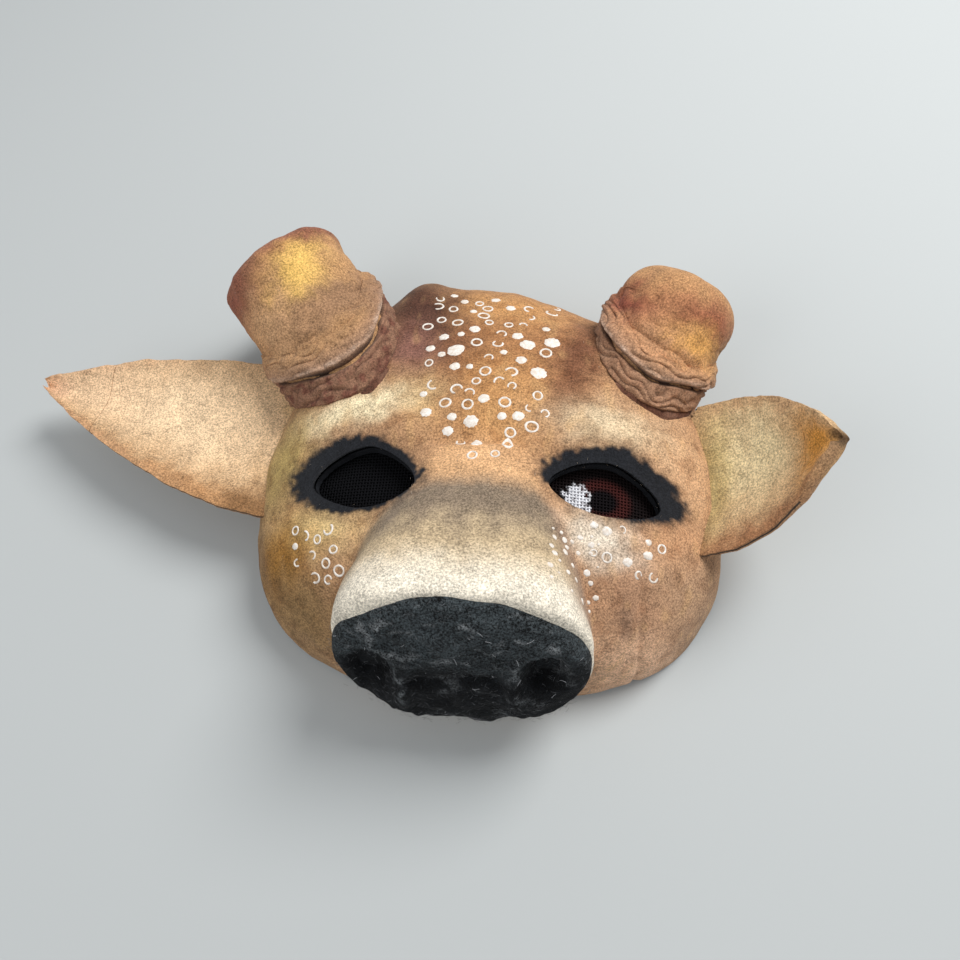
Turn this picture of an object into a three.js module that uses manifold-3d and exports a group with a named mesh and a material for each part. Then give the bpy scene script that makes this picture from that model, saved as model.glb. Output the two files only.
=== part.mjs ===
// Handmade fawn mask: a stiff half-mask shell covered in felt, with a padded muzzle and nose,
// two layered ears and two felt-wrapped antler stubs. Millimetres, +Z out of the face.
// It lies on the rim of the shell: +X to the viewer's right, +Y from the nose to the forehead.
import * as THREE from 'three'
import { ParametricGeometry } from 'three/addons/geometries/ParametricGeometry.js'
import { mergeVertices } from 'three/addons/utils/BufferGeometryUtils.js'
import Module from 'manifold-3d'

const wasm = await Module()
wasm.setup()

// ---------------------------------------------------------------- driving dimensions
const GAP = 0.3 // clearance between glued pieces
const CRUMB_VOLUME = 0.5 // cubic millimetres

// Shell: outer surface of the stiff base, measured from the point between the eyes.
const HEAD_HALF_WIDTH = 86
const FOREHEAD_LENGTH = 100
const CHIN_LENGTH = 61
const DOME_HEIGHT = 49
const OUTLINE_POWER = 2.5 // squareness of the rim's outline
const PROFILE_POWER = 2.3 // squareness of the dome's section
const SHELL_WALL = 2.5
const SHELL_SKIRT = 30 // cutters reach this far below the rim
const DOME_SECTORS = 40
const DOME_RINGS = 8

// Felt skins glued over the shell.
const FELT = 1.6
const FELT_HEM = 1.2 // the skins stop this far above the shell's rim
const SEAM = 0.6 // open seam between two skins
const SEAM_Y = 1 // seam between forehead and cheeks, on the eye line
const JAW_SEAM_X = 57 // seam between the right cheek and the right jaw piece
const FAR = 400 // side of a block that takes in the whole mask

// Eyes.
const EYES = {
  left: { side: -1, x: -41, y: 4 },
  right: { side: 1, x: 45, y: 2 },
}
const EYE_WIDTH = 38
const EYE_UPPER = 15
const EYE_LOWER = 11
const EYE_SLANT = 3 // degrees, outer corner down
const SCREEN_MARGIN = 5
const SCREEN_THICKNESS = 0.8

// Muzzle: a tapered foam block from the bridge between the eyes to the nose.
const BRIDGE_Y = 12
const BRIDGE_HALF_WIDTH = 23
const BRIDGE_TOP = 49
const BRIDGE_BOTTOM = 8
const NOSE_Y = -58
const NOSE_HALF_WIDTH = 42
const NOSE_TOP = 72
const NOSE_BOTTOM = 14
const NOSE_LEAN = 0.4 // the nose's face leans back towards the bridge
const MUZZLE_POWER = 2.5
const NOSE_DEPTH = 7
const NOSE_INSET = 1.5 // the nose pad's edge lies this far inside the muzzle felt's edge
const NOSTRIL_RADIUS = 8
const NOSTRIL_X = 29
const NOSTRIL_RISE = 0.52 // share of the nose's height, from its bottom edge
const NOSTRIL_SHAPE = [0.8, 1, 1.1] // the hollow is narrower than it is tall
const NOSE_TAPER = 0.42 // share by which the pad's front face is smaller than its edge
const MUZZLE_STATIONS = 5
const MUZZLE_SIDES = 28

// Ears: three layers (lining, foam, back) and a separate tip.
const EAR_LINING = 1.4
const EAR_FOAM = 2.6
const EAR_BACK = 1.4
const EAR_STEPS = 12
const EAR_COLUMNS = 8
const EAR_TIP_SEAM = 0.6
const EARS = {
  left: {
    side: -1, baseX: 66, baseY: 21, rootZ: 13, sweep: 6, rise: 1, curl: 0,
    bodyLength: 93, tipLength: 31, halfWidth: 30, cup: 9, back: 0.5,
  },
  right: {
    side: 1, baseX: 73, baseY: 15, rootZ: 11, sweep: -5, rise: 25, curl: 44,
    bodyLength: 56, tipLength: 17, halfWidth: 31, cup: 9.6, back: 0.2,
  },
}

// Antler stubs: each axis starts at its foot inside the head; radius is the felt wrap's outside.
const HORN_FELT = 1.6
const HORN_SIDES = 18
const FOLD_THICKNESS = 2.6
const FOLD_LENGTH = 12
const COLLAR_THICKNESS = 2.4
const COLLAR_LENGTH = 8
const COLLAR_CHAMFER = 2
const COLLAR_LIP = 1.5 // thickness left at the collar's free edge
const FOLD_STEPS = 8
const FOLD_RIDGES = 2
const FOLD_VALLEY = 0.45 // share of the fold's thickness in its valleys
const FOLD_RIPPLE = 0.28
const CAP_STEPS = 5
const HORNS = {
  left: { foot: [-46, 45, 20], aim: [-0.62, 0.72, 0.31], radius: 25.5, length: 70, dome: 3 },
  right: { foot: [48, 40, 18], aim: [0.4, 0.76, 0.36], radius: 22.5, length: 61, dome: 13 },
}

// Strap tabs inside the shell, with a slot each for a head elastic.
const TAB_WIDTH = 20
const TAB_HEIGHT = 18
const TAB_THICKNESS = 2
const TAB_Y = 18
const TAB_Z = 6
const SLOT_WIDTH = 12
const SLOT_HEIGHT = 3

// ---------------------------------------------------------------- helpers
const signedPower = (value, power) => Math.sign(value) * Math.abs(value) ** power
const mix = (from, to, t) => from + (to - from) * t
const radians = THREE.MathUtils.degToRad

// Closed solid from a geometry: shared vertices merged, empty triangles dropped, faces outward.
function solid(geometry) {
  const bare = geometry.clone()
  bare.deleteAttribute('normal')
  bare.deleteAttribute('uv')
  const merged = mergeVertices(bare, 1e-4)
  const points = merged.attributes.position
  const index = merged.index.array
  const triangles = []
  let volume = 0
  const corners = [new THREE.Vector3(), new THREE.Vector3(), new THREE.Vector3()]
  for (let i = 0; i < index.length; i += 3) {
    const [a, b, c] = [index[i], index[i + 1], index[i + 2]]
    if (a === b || b === c || c === a) continue
    triangles.push(a, b, c)
    corners.forEach((corner, k) => corner.fromBufferAttribute(points, index[i + k]))
    volume += corners[0].dot(corners[1].cross(corners[2]))
  }
  if (volume < 0) triangles.reverse()
  return new wasm.Manifold(new wasm.Mesh({
    numProp: 3,
    vertProperties: new Float32Array(points.array),
    triVerts: new Uint32Array(triangles),
  }))
}

// Solid without the crumbs, far smaller than any piece, that a cut can leave at an edge.
function withoutCrumbs(shape) {
  const bodies = shape.decompose().filter((body) => Math.abs(body.volume()) > CRUMB_VOLUME)
  return wasm.Manifold.compose(bodies)
}

// Named, coloured mesh from a solid.
function piece(name, shape, color, roughness = 0.95) {
  const { vertProperties, triVerts } = withoutCrumbs(shape).getMesh()
  const geometry = new THREE.BufferGeometry()
  geometry.setAttribute('position', new THREE.BufferAttribute(vertProperties, 3))
  geometry.setIndex(new THREE.BufferAttribute(triVerts, 1))
  geometry.computeVertexNormals()
  const material = new THREE.MeshStandardMaterial({ color, roughness, metalness: 0 })
  const mesh = new THREE.Mesh(geometry, material)
  mesh.name = name
  return mesh
}

// Closed loft: ring(s, angle) gives a point, s runs 0..1 over the stations; both ends are capped.
function loft(ring, stations, sides) {
  const centre = (s) => {
    const sum = new THREE.Vector3()
    for (let i = 0; i < sides; i += 1) sum.add(ring(s, (i / sides) * 2 * Math.PI))
    return sum.divideScalar(sides)
  }
  const stacks = stations + 2
  const surface = (u, v, target) => {
    const step = Math.round(v * stacks)
    const s = Math.min(Math.max(step - 1, 0), stations) / stations
    const atEnd = step === 0 || step === stacks
    target.copy(atEnd ? centre(s) : ring(s, (Math.round(u * sides) % sides) / sides * 2 * Math.PI))
  }
  return solid(new ParametricGeometry(surface, sides, stacks))
}

function block(width, depth, height, x, y, z) {
  return solid(new THREE.BoxGeometry(width, depth, height).translate(x, y, z))
}

function prism(shape, from, to, segments = 10) {
  const options = { depth: to - from, bevelEnabled: false, curveSegments: segments }
  return solid(new THREE.ExtrudeGeometry(shape, options).translate(0, 0, from))
}

// ---------------------------------------------------------------- head surface
// Point of the dome, grown outwards from the shell's outer surface. rise: 0 at the rim, 1 on top.
function domePoint(grow, angle, rise) {
  const reach = signedPower(Math.cos(rise * Math.PI / 2), 2 / PROFILE_POWER)
  const along = signedPower(Math.sin(angle), 2 / OUTLINE_POWER) * reach
  const across = signedPower(Math.cos(angle), 2 / OUTLINE_POWER) * reach
  const length = along > 0 ? FOREHEAD_LENGTH : CHIN_LENGTH
  const height = signedPower(Math.sin(rise * Math.PI / 2), 2 / PROFILE_POWER)
  return new THREE.Vector3(
    across * (HEAD_HALF_WIDTH + grow),
    along * (length + grow),
    height * (DOME_HEIGHT + grow),
  )
}

// Layer between two offsets of the dome, open underneath.
function domeLayer(outside, inside) {
  const stacks = 2 * DOME_RINGS + 1
  const surface = (u, v, target) => {
    const step = Math.round(v * stacks)
    const outer = step <= DOME_RINGS
    const rise = outer ? 1 - step / DOME_RINGS : (step - DOME_RINGS - 1) / DOME_RINGS
    const angle = (Math.round(u * DOME_SECTORS) % DOME_SECTORS) / DOME_SECTORS * 2 * Math.PI
    target.copy(domePoint(outer ? outside : inside, angle, rise))
    if (rise === 0) target.z = 0
    if (rise === 1) target.set(0, 0, DOME_HEIGHT + (outer ? outside : inside))
  }
  return solid(new ParametricGeometry(surface, DOME_SECTORS, stacks))
}

// Everything under an offset of the dome, with a skirt below the rim.
function domeFill(grow) {
  const stacks = DOME_RINGS + 2
  const surface = (u, v, target) => {
    const step = Math.round(v * stacks)
    const angle = (Math.round(u * DOME_SECTORS) % DOME_SECTORS) / DOME_SECTORS * 2 * Math.PI
    if (step === stacks) target.set(0, 0, -SHELL_SKIRT)
    else if (step > DOME_RINGS) target.copy(domePoint(grow, angle, 0)).setZ(-SHELL_SKIRT)
    else target.copy(domePoint(grow, angle, 1 - step / DOME_RINGS))
    if (step === 0) target.set(0, 0, DOME_HEIGHT + grow)
  }
  return solid(new ParametricGeometry(surface, DOME_SECTORS, stacks))
}

const SKIN_INSIDE = GAP
const SKIN_OUTSIDE = GAP + FELT
const clearOfHead = domeFill(SKIN_OUTSIDE + GAP)

// ---------------------------------------------------------------- eyes
function almond(margin) {
  const half = EYE_WIDTH / 2 + margin
  const shape = new THREE.Shape()
  shape.moveTo(-half, 0)
  shape.bezierCurveTo(-half * 0.55, EYE_UPPER * 0.9 + margin, half * 0.3, EYE_UPPER * 1.6 + margin, half, 0)
  const below = EYE_LOWER + margin
  shape.bezierCurveTo(half * 0.6, -EYE_LOWER * 0.3 - below, -half * 0.5, -EYE_LOWER * 0.2 - below, -half, 0)
  return shape
}

// Upright cutter with an eye's outline; the right eye mirrors the left one.
function eyeCutter(eye, margin) {
  const cutter = prism(almond(margin), -5, DOME_HEIGHT + 40)
  const placed = eye.side < 0 ? cutter : cutter.mirror([1, 0, 0])
  return placed.rotate([0, 0, eye.side * -EYE_SLANT]).translate([eye.x, eye.y, 0])
}

const eyeHoles = eyeCutter(EYES.left, 0).add(eyeCutter(EYES.right, 0))

// Woven screen glued behind an eye opening.
function eyeScreen(eye) {
  const outside = -SHELL_WALL - GAP
  return domeLayer(outside, outside - SCREEN_THICKNESS).intersect(eyeCutter(eye, SCREEN_MARGIN))
}

// ---------------------------------------------------------------- muzzle and nose
function muzzlePoint(grow, s, angle) {
  const halfWidth = mix(BRIDGE_HALF_WIDTH, NOSE_HALF_WIDTH, s) + grow
  const top = mix(BRIDGE_TOP, NOSE_TOP, s) + grow
  const bottom = mix(BRIDGE_BOTTOM, NOSE_BOTTOM, s) - grow
  const middle = (top + bottom) / 2
  const x = halfWidth * signedPower(Math.cos(angle), 2 / MUZZLE_POWER)
  const up = ((top - bottom) / 2) * signedPower(Math.sin(angle), 2 / MUZZLE_POWER)
  return new THREE.Vector3(x, mix(BRIDGE_Y, NOSE_Y, s) + NOSE_LEAN * s * up, middle + up)
}

function muzzleBody(grow, from, to) {
  const ring = (s, angle) => muzzlePoint(grow, mix(from, to, s), angle)
  return loft(ring, MUZZLE_STATIONS, MUZZLE_SIDES)
}

const MUZZLE_OUTSIDE = GAP + FELT

function muzzleFelt() {
  const sleeve = muzzleBody(MUZZLE_OUTSIDE, 0, 1).subtract(muzzleBody(GAP, -0.2, 1.2))
  return sleeve.subtract(domeFill(GAP))
}

// Rounded pad over the whole front of the muzzle, with two nostril hollows.
function nosePad() {
  const ring = (s, angle) => {
    const rim = muzzlePoint(MUZZLE_OUTSIDE - NOSE_INSET, 1, angle)
    const centre = new THREE.Vector3(0, NOSE_Y, (NOSE_TOP + NOSE_BOTTOM) / 2)
    const shrink = 1 - NOSE_TAPER * s ** 3
    const point = rim.sub(centre).multiplyScalar(shrink).add(centre)
    point.y -= GAP + NOSE_DEPTH * Math.sin(s * Math.PI / 2)
    return point
  }
  let pad = loft(ring, MUZZLE_STATIONS, MUZZLE_SIDES)
  for (const side of [-1, 1]) {
    const front = NOSE_Y - NOSE_DEPTH - GAP
    const height = mix(NOSE_BOTTOM, NOSE_TOP, NOSTRIL_RISE)
    const hollow = new THREE.SphereGeometry(NOSTRIL_RADIUS, 12, 8).scale(...NOSTRIL_SHAPE)
    pad = pad.subtract(solid(hollow.translate(side * NOSTRIL_X, front - 1, height)))
  }
  return pad
}

// ---------------------------------------------------------------- felt skins
const clearOfMuzzle = muzzleBody(MUZZLE_OUTSIDE + GAP, 0, 1.1)
const skin = domeLayer(SKIN_OUTSIDE, SKIN_INSIDE)
  .subtract(eyeHoles)
  .subtract(clearOfMuzzle)
  .intersect(block(FAR, FAR, FAR, 0, 0, FELT_HEM + FAR / 2))

const HALF_SEAM = SEAM / 2
const upTo = (x) => block(FAR, FAR, FAR, x - FAR / 2, 0, 0)
const beyond = (x) => block(FAR, FAR, FAR, x + FAR / 2, 0, 0)
const belowEyes = block(FAR, FAR, FAR, 0, SEAM_Y - HALF_SEAM - FAR / 2, 0)
const aboveEyes = block(FAR, FAR, FAR, 0, SEAM_Y + HALF_SEAM + FAR / 2, 0)
const lowerSkin = skin.intersect(belowEyes)

// ---------------------------------------------------------------- antler stubs
// Body of revolution along a horn's axis, clear of the head's felt.
function turned(horn, profile, sides = HORN_SIDES) {
  const points = profile.map(([radius, along]) => new THREE.Vector2(radius, along))
  const geometry = new THREE.LatheGeometry(points, sides)
  const aim = new THREE.Vector3(...horn.aim).normalize()
  geometry.applyQuaternion(new THREE.Quaternion().setFromUnitVectors(new THREE.Vector3(0, 1, 0), aim))
  return solid(geometry.translate(...horn.foot)).subtract(clearOfHead)
}

// Distance along a horn's axis from its foot to where the axis leaves the head's felt.
function surfaceAlong(horn) {
  const aim = new THREE.Vector3(...horn.aim).normalize()
  const foot = new THREE.Vector3(...horn.foot)
  for (let along = 0; along < horn.length; along += 0.25) {
    const p = aim.clone().multiplyScalar(along).add(foot)
    const reachX = Math.abs(p.x / (HEAD_HALF_WIDTH + SKIN_OUTSIDE)) ** OUTLINE_POWER
    const reachY = Math.abs(p.y / (FOREHEAD_LENGTH + SKIN_OUTSIDE)) ** OUTLINE_POWER
    const reach = (reachX + reachY) ** (PROFILE_POWER / OUTLINE_POWER)
    if (reach + Math.abs(p.z / (DOME_HEIGHT + SKIN_OUTSIDE)) ** PROFILE_POWER > 1) return along
  }
  return 0
}

function hornPieces(name, horn) {
  const inside = horn.radius - HORN_FELT
  const core = inside - GAP
  const capStart = horn.length - horn.dome - HORN_FELT
  const surface = surfaceAlong(horn)
  const collarEnd = surface + COLLAR_LENGTH
  const foldStart = collarEnd + GAP
  const foldEnd = foldStart + FOLD_LENGTH
  const foldInside = horn.radius + GAP
  const fold = []
  for (let i = 0; i <= FOLD_STEPS; i += 1) {
    const ripple = 1 - Math.cos((i / FOLD_STEPS) * FOLD_RIDGES * 2 * Math.PI)
    const thickness = FOLD_THICKNESS * (FOLD_VALLEY + FOLD_RIPPLE * ripple)
    fold.push([foldInside + thickness, mix(foldStart, foldEnd, i / FOLD_STEPS)])
  }
  const dome = []
  for (let i = 0; i <= CAP_STEPS; i += 1) {
    const angle = (i / CAP_STEPS) * Math.PI / 2
    dome.push([horn.radius * Math.cos(angle), capStart + HORN_FELT + horn.dome * Math.sin(angle)])
  }
  const collarOutside = foldInside + COLLAR_THICKNESS
  const wrapEnd = capStart - GAP
  const profiles = {
    core: [[0, 0], [core, 0], [core, wrapEnd], [0, wrapEnd]],
    wrap: [[inside, 0], [horn.radius, 0], [horn.radius, wrapEnd], [inside, wrapEnd], [inside, 0]],
    cap: [[0, capStart], [horn.radius, capStart], ...dome],
    fold: [[foldInside, foldStart], ...fold, [foldInside, foldEnd], [foldInside, foldStart]],
    collar: [
      [foldInside, 0], [collarOutside, 0], [collarOutside, collarEnd - COLLAR_CHAMFER],
      [foldInside + COLLAR_LIP, collarEnd], [foldInside, collarEnd], [foldInside, 0],
    ],
  }
  return {
    [`${name}_antler_core`]: [turned(horn, profiles.core), 0xd9cbb0],
    [`${name}_antler_wrap`]: [turned(horn, profiles.wrap), 0xb9803f],
    [`${name}_antler_cap`]: [turned(horn, profiles.cap), 0x8a4a3a],
    [`${name}_antler_fold`]: [turned(horn, profiles.fold), 0xb48a6e],
    [`${name}_antler_collar`]: [turned(horn, profiles.collar), 0x7c4634],
  }
}

// Room that an antler stub, with its fold and collar, takes from its neighbours.
function hornRoom(horn) {
  const widest = horn.radius + 2 * GAP + Math.max(FOLD_THICKNESS, COLLAR_THICKNESS)
  return turned(horn, [[0, 0], [widest, 0], [widest, horn.length], [0, horn.length]])
}

const clearOfHorns = hornRoom(HORNS.left).add(hornRoom(HORNS.right))

// ---------------------------------------------------------------- ears
// Middle line of an ear: distance out from the head and height, after a share u of its length.
function earSpine(ear, u) {
  const total = ear.bodyLength + ear.tipLength
  const steps = 24
  let out = 0
  let up = 0
  for (let i = 0; i < steps; i += 1) {
    const angle = radians(ear.rise + ear.curl * ((i + 0.5) / steps) * u)
    out += Math.cos(angle) * u * total / steps
    up += Math.sin(angle) * u * total / steps
  }
  return { out, up, angle: radians(ear.rise + ear.curl * u) }
}

// Point of an ear: u along it, across -1..1 from the chin side to the forehead side.
function earPoint(ear, u, across, depth) {
  const spine = earSpine(ear, u)
  const half = ear.halfWidth * (1 - u ** 1.7) ** 0.8 * (1 + 0.16 * Math.sin(Math.PI * u))
  const lift = ear.cup * (1 - 0.5 * u) * (across * across) + depth
  const y = half * across + ear.back * ear.halfWidth * u
  const x = spine.out - Math.sin(spine.angle) * lift
  const z = spine.up + Math.cos(spine.angle) * lift
  return new THREE.Vector3(x, y, z)
}

// Closed layer of an ear between two depths and two shares of its length.
function earLayer(ear, from, to, low, high) {
  const sides = 2 * EAR_COLUMNS + 2
  const ring = (s, angle) => {
    const step = Math.round((angle / (2 * Math.PI)) * sides)
    const bottom = step <= EAR_COLUMNS
    const across = bottom ? -1 + (2 * step) / EAR_COLUMNS : 1 - (2 * (step - EAR_COLUMNS - 1)) / EAR_COLUMNS
    return earPoint(ear, mix(from, to, s), across, bottom ? low : high)
  }
  const body = loft(ring, EAR_STEPS, sides)
  const turned = ear.side < 0 ? body.mirror([1, 0, 0]) : body
  return turned
    .rotate([0, 0, ear.side * ear.sweep])
    .translate([ear.side * ear.baseX, ear.baseY, ear.rootZ])
    .subtract(clearOfHead)
    .subtract(clearOfHorns)
}

function earPieces(name, ear) {
  const total = ear.bodyLength + ear.tipLength
  const seamAt = ear.bodyLength / total
  const tipStart = (ear.bodyLength + EAR_TIP_SEAM) / total
  const foamTop = EAR_BACK + GAP + EAR_FOAM
  const liningTop = foamTop + GAP + EAR_LINING
  return {
    [`${name}_ear_back`]: [earLayer(ear, 0, seamAt, 0, EAR_BACK), 0x9a6236],
    [`${name}_ear_foam`]: [earLayer(ear, 0, seamAt, EAR_BACK + GAP, foamTop), 0x2c2723],
    [`${name}_ear_lining`]: [earLayer(ear, 0, seamAt, foamTop + GAP, liningTop), 0xe6c584],
    [`${name}_ear_tip`]: [earLayer(ear, tipStart, 0.985, 0, liningTop), 0xb9803f],
  }
}

// ---------------------------------------------------------------- strap tabs
function strapTab(side) {
  const outside = -SHELL_WALL - GAP
  const middle = TAB_Z + TAB_HEIGHT / 2
  const half = block(HEAD_HALF_WIDTH, TAB_WIDTH, TAB_HEIGHT, side * HEAD_HALF_WIDTH, TAB_Y, middle)
  const slot = block(HEAD_HALF_WIDTH, SLOT_WIDTH, SLOT_HEIGHT, side * HEAD_HALF_WIDTH, TAB_Y, middle)
  return domeLayer(outside, outside - TAB_THICKNESS).intersect(half).subtract(slot)
}

// ---------------------------------------------------------------- assembly
const parts = {
  mask_base: [domeLayer(0, -SHELL_WALL).subtract(eyeHoles), 0x8c8173],
  forehead_felt: [skin.intersect(aboveEyes), 0x9c5f35],
  left_cheek_felt: [lowerSkin.intersect(upTo(-HALF_SEAM)), 0xb17f45],
  right_cheek_felt: [
    lowerSkin.intersect(beyond(HALF_SEAM)).intersect(upTo(JAW_SEAM_X - HALF_SEAM)), 0xc9925a,
  ],
  right_jaw_felt: [lowerSkin.intersect(beyond(JAW_SEAM_X + HALF_SEAM)), 0xa96f42],
  muzzle_foam: [muzzleBody(0, 0, 1).subtract(domeFill(GAP)), 0xd9cbb0],
  muzzle_felt: [muzzleFelt(), 0xd9c4a0],
  nose_pad: [nosePad(), 0x23242a],
  left_eye_screen: [eyeScreen(EYES.left), 0x18181a],
  right_eye_screen: [eyeScreen(EYES.right), 0x3a1c18],
  left_strap_tab: [strapTab(-1), 0x2c2723],
  right_strap_tab: [strapTab(1), 0x2c2723],
  ...earPieces('left', EARS.left),
  ...earPieces('right', EARS.right),
  ...hornPieces('left', HORNS.left),
  ...hornPieces('right', HORNS.right),
}

const mask = new THREE.Group()
for (const [name, [shape, color]] of Object.entries(parts)) mask.add(piece(name, shape, color))

// Origin under the middle of the whole object, at the height of the rim.
const bounds = new THREE.Box3().setFromObject(mask)
const centre = bounds.getCenter(new THREE.Vector3())
mask.position.set(-centre.x, -centre.y, -bounds.min.z)

export default mask
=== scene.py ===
import math
from random import Random

import bpy
import numpy as np
from mathutils import Matrix, Vector, noise
from mathutils.bvhtree import BVHTree


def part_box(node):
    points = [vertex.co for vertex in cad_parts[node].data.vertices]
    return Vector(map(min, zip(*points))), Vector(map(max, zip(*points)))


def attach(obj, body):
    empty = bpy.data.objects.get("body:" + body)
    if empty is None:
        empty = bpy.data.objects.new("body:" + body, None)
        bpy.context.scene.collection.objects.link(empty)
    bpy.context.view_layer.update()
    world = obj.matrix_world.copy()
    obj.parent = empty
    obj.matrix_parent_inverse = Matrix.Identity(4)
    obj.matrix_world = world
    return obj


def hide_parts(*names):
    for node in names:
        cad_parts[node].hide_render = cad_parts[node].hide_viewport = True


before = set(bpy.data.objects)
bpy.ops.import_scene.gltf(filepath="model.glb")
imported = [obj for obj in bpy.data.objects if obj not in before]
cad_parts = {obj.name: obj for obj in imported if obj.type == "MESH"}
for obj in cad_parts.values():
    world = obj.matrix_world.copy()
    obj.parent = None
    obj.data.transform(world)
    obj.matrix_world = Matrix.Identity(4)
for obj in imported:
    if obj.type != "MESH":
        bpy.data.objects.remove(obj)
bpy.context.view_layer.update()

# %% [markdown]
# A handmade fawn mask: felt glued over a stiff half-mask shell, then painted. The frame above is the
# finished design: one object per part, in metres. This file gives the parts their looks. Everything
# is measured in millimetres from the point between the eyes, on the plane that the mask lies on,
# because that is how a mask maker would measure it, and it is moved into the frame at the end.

MM = 0.001
CHIN_LENGTH = 61.0
shell_low, shell_high = (np.array(corner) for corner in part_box("mask_base"))
BETWEEN_EYES = np.array([(shell_low[0] + shell_high[0]) / 2, shell_low[1] + CHIN_LENGTH * MM, 0.0])


def in_frame(points):
    """Points in millimetres from between the eyes, as metres in the frame."""
    return np.asarray(points, float) * MM + BETWEEN_EYES


def in_scene(name, data):
    """A mesh, lamp or camera as an object in the scene."""
    thing = bpy.data.objects.new(name, data)
    bpy.context.scene.collection.objects.link(thing)
    return thing


print("between the eyes:", BETWEEN_EYES.round(4))

# %% [markdown]
# The camera stands over the nose and looks down at the face, a little from the wearer's left. It is
# set first, because it decides which details matter most.

# %% Camera
CAMERA_PLACE = (34.2, -112.7, 299.8)
CAMERA_TURN = math.radians(15.9)
CAMERA_DROP = math.radians(64.8)
CAMERA_ROLL = math.radians(-12.1)
LENS = 31.1

forward = Vector((
    -math.sin(CAMERA_TURN) * math.cos(CAMERA_DROP),
    math.cos(CAMERA_TURN) * math.cos(CAMERA_DROP),
    -math.sin(CAMERA_DROP),
))
level = Vector((math.cos(CAMERA_TURN), math.sin(CAMERA_TURN), 0.0))
upright = level.cross(forward)
right = math.cos(CAMERA_ROLL) * level + math.sin(CAMERA_ROLL) * upright
above = math.cos(CAMERA_ROLL) * upright - math.sin(CAMERA_ROLL) * level
camera_data = bpy.data.cameras.new("camera")
camera_data.lens = LENS
camera_data.clip_start = 0.01
camera = in_scene("camera", camera_data)
camera.matrix_world = Matrix.Translation(Vector(in_frame(CAMERA_PLACE))) @ Matrix(
    (right, above, -forward)).transposed().to_4x4()
bpy.context.scene.camera = camera
print("camera at", [round(value, 3) for value in camera.location])

# %% [markdown]
# A plain pale floor, one large soft lamp from the upper right, a weaker one from the left and a pale
# room all round. Soft light shows the felt's grain without hard shadows.

# %% Floor and light
def stage_material(name, colour):
    material = bpy.data.materials.new(name)
    material.use_nodes = True
    shader = material.node_tree.nodes["Principled BSDF"]
    shader.inputs["Base Color"].default_value = (*colour, 1)
    shader.inputs["Roughness"].default_value = 0.9
    return material


def lamp(name, place, target, size, watts):
    data = bpy.data.lights.new(name, "AREA")
    data.shape = "DISK"
    data.size = size
    data.energy = watts
    thing = in_scene(name, data)
    thing.location = place
    thing.rotation_euler = (Vector(target) - Vector(place)).to_track_quat("-Z", "Y").to_euler()


FLOOR_REACH, FLOOR_DEPTH = 20.0, 0.0002
floor_mesh = bpy.data.meshes.new("floor")
corners = [(-FLOOR_REACH, -FLOOR_REACH), (FLOOR_REACH, -FLOOR_REACH),
           (FLOOR_REACH, FLOOR_REACH), (-FLOOR_REACH, FLOOR_REACH)]
floor_mesh.from_pydata([(x, y, -FLOOR_DEPTH) for x, y in corners], [], [(0, 1, 2, 3)])
floor_mesh.materials.append(stage_material("pale_floor", (0.47, 0.49, 0.485)))
in_scene("floor", floor_mesh)

lamp("key_light", (0.55, 0.45, 0.85), (0, 0, 0.03), 0.6, 12.0)
lamp("fill_light", (-0.7, -0.5, 0.7), (0, 0, 0.03), 0.9, 3.6)
world = bpy.data.worlds.new("room")
world.use_nodes = True
world.node_tree.nodes["Background"].inputs[0].default_value = (0.92, 0.95, 1.0, 1)
world.node_tree.nodes["Background"].inputs[1].default_value = 0.45
bpy.context.scene.world = world
bpy.context.scene.view_settings.view_transform = "Standard"

# %% [markdown]
# Every piece here is a smooth grid of points worked out by a formula, given a wall and painted at its
# points. These helpers make the grid's faces, the wall and the mesh.

# %% Mesh helpers
SHARP_ANGLE = 50


def grid_faces(rows, columns, around=False):
    """Quads of a grid of points stored row by row; around joins the last column to the first."""
    row, column = np.meshgrid(np.arange(rows - 1), np.arange(columns if around else columns - 1),
                              indexing="ij")
    beside = (column + 1) % columns
    corners = (row * columns + column, row * columns + beside,
               (row + 1) * columns + beside, (row + 1) * columns + column)
    return np.stack([corner.ravel() for corner in corners], 1)


def smooth_object(name, points, faces, paint=None, normals=None):
    """A smooth-shaded object from points in millimetres, with a colour at each point."""
    mesh = bpy.data.meshes.new(name)
    mesh.from_pydata(in_frame(points).tolist(), [], [list(map(int, face)) for face in faces])
    mesh.update()
    if paint is not None:
        layer = mesh.attributes.new("paint", "FLOAT_COLOR", "POINT")
        rgba = np.concatenate([paint, np.ones((len(paint), 1))], 1)
        layer.data.foreach_set("color", rgba.astype(np.float32).ravel())
    mesh.shade_smooth()
    if normals is not None:
        mesh.normals_split_custom_set_from_vertices(normals.tolist())
    else:
        mesh.set_sharp_from_angle(angle=math.radians(SHARP_ANGLE))
    return in_scene(name, mesh)


def point_normals(points, faces):
    """Unit normals at the points, from the faces round them."""
    a, b, c, d = (points[faces[:, k]] for k in range(4))
    face_normals = np.cross(c - a, d - b)
    total = np.zeros_like(points)
    for k in range(4):
        np.add.at(total, faces[:, k], face_normals)
    return total / np.maximum(np.linalg.norm(total, axis=1, keepdims=True), 1e-9)


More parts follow.
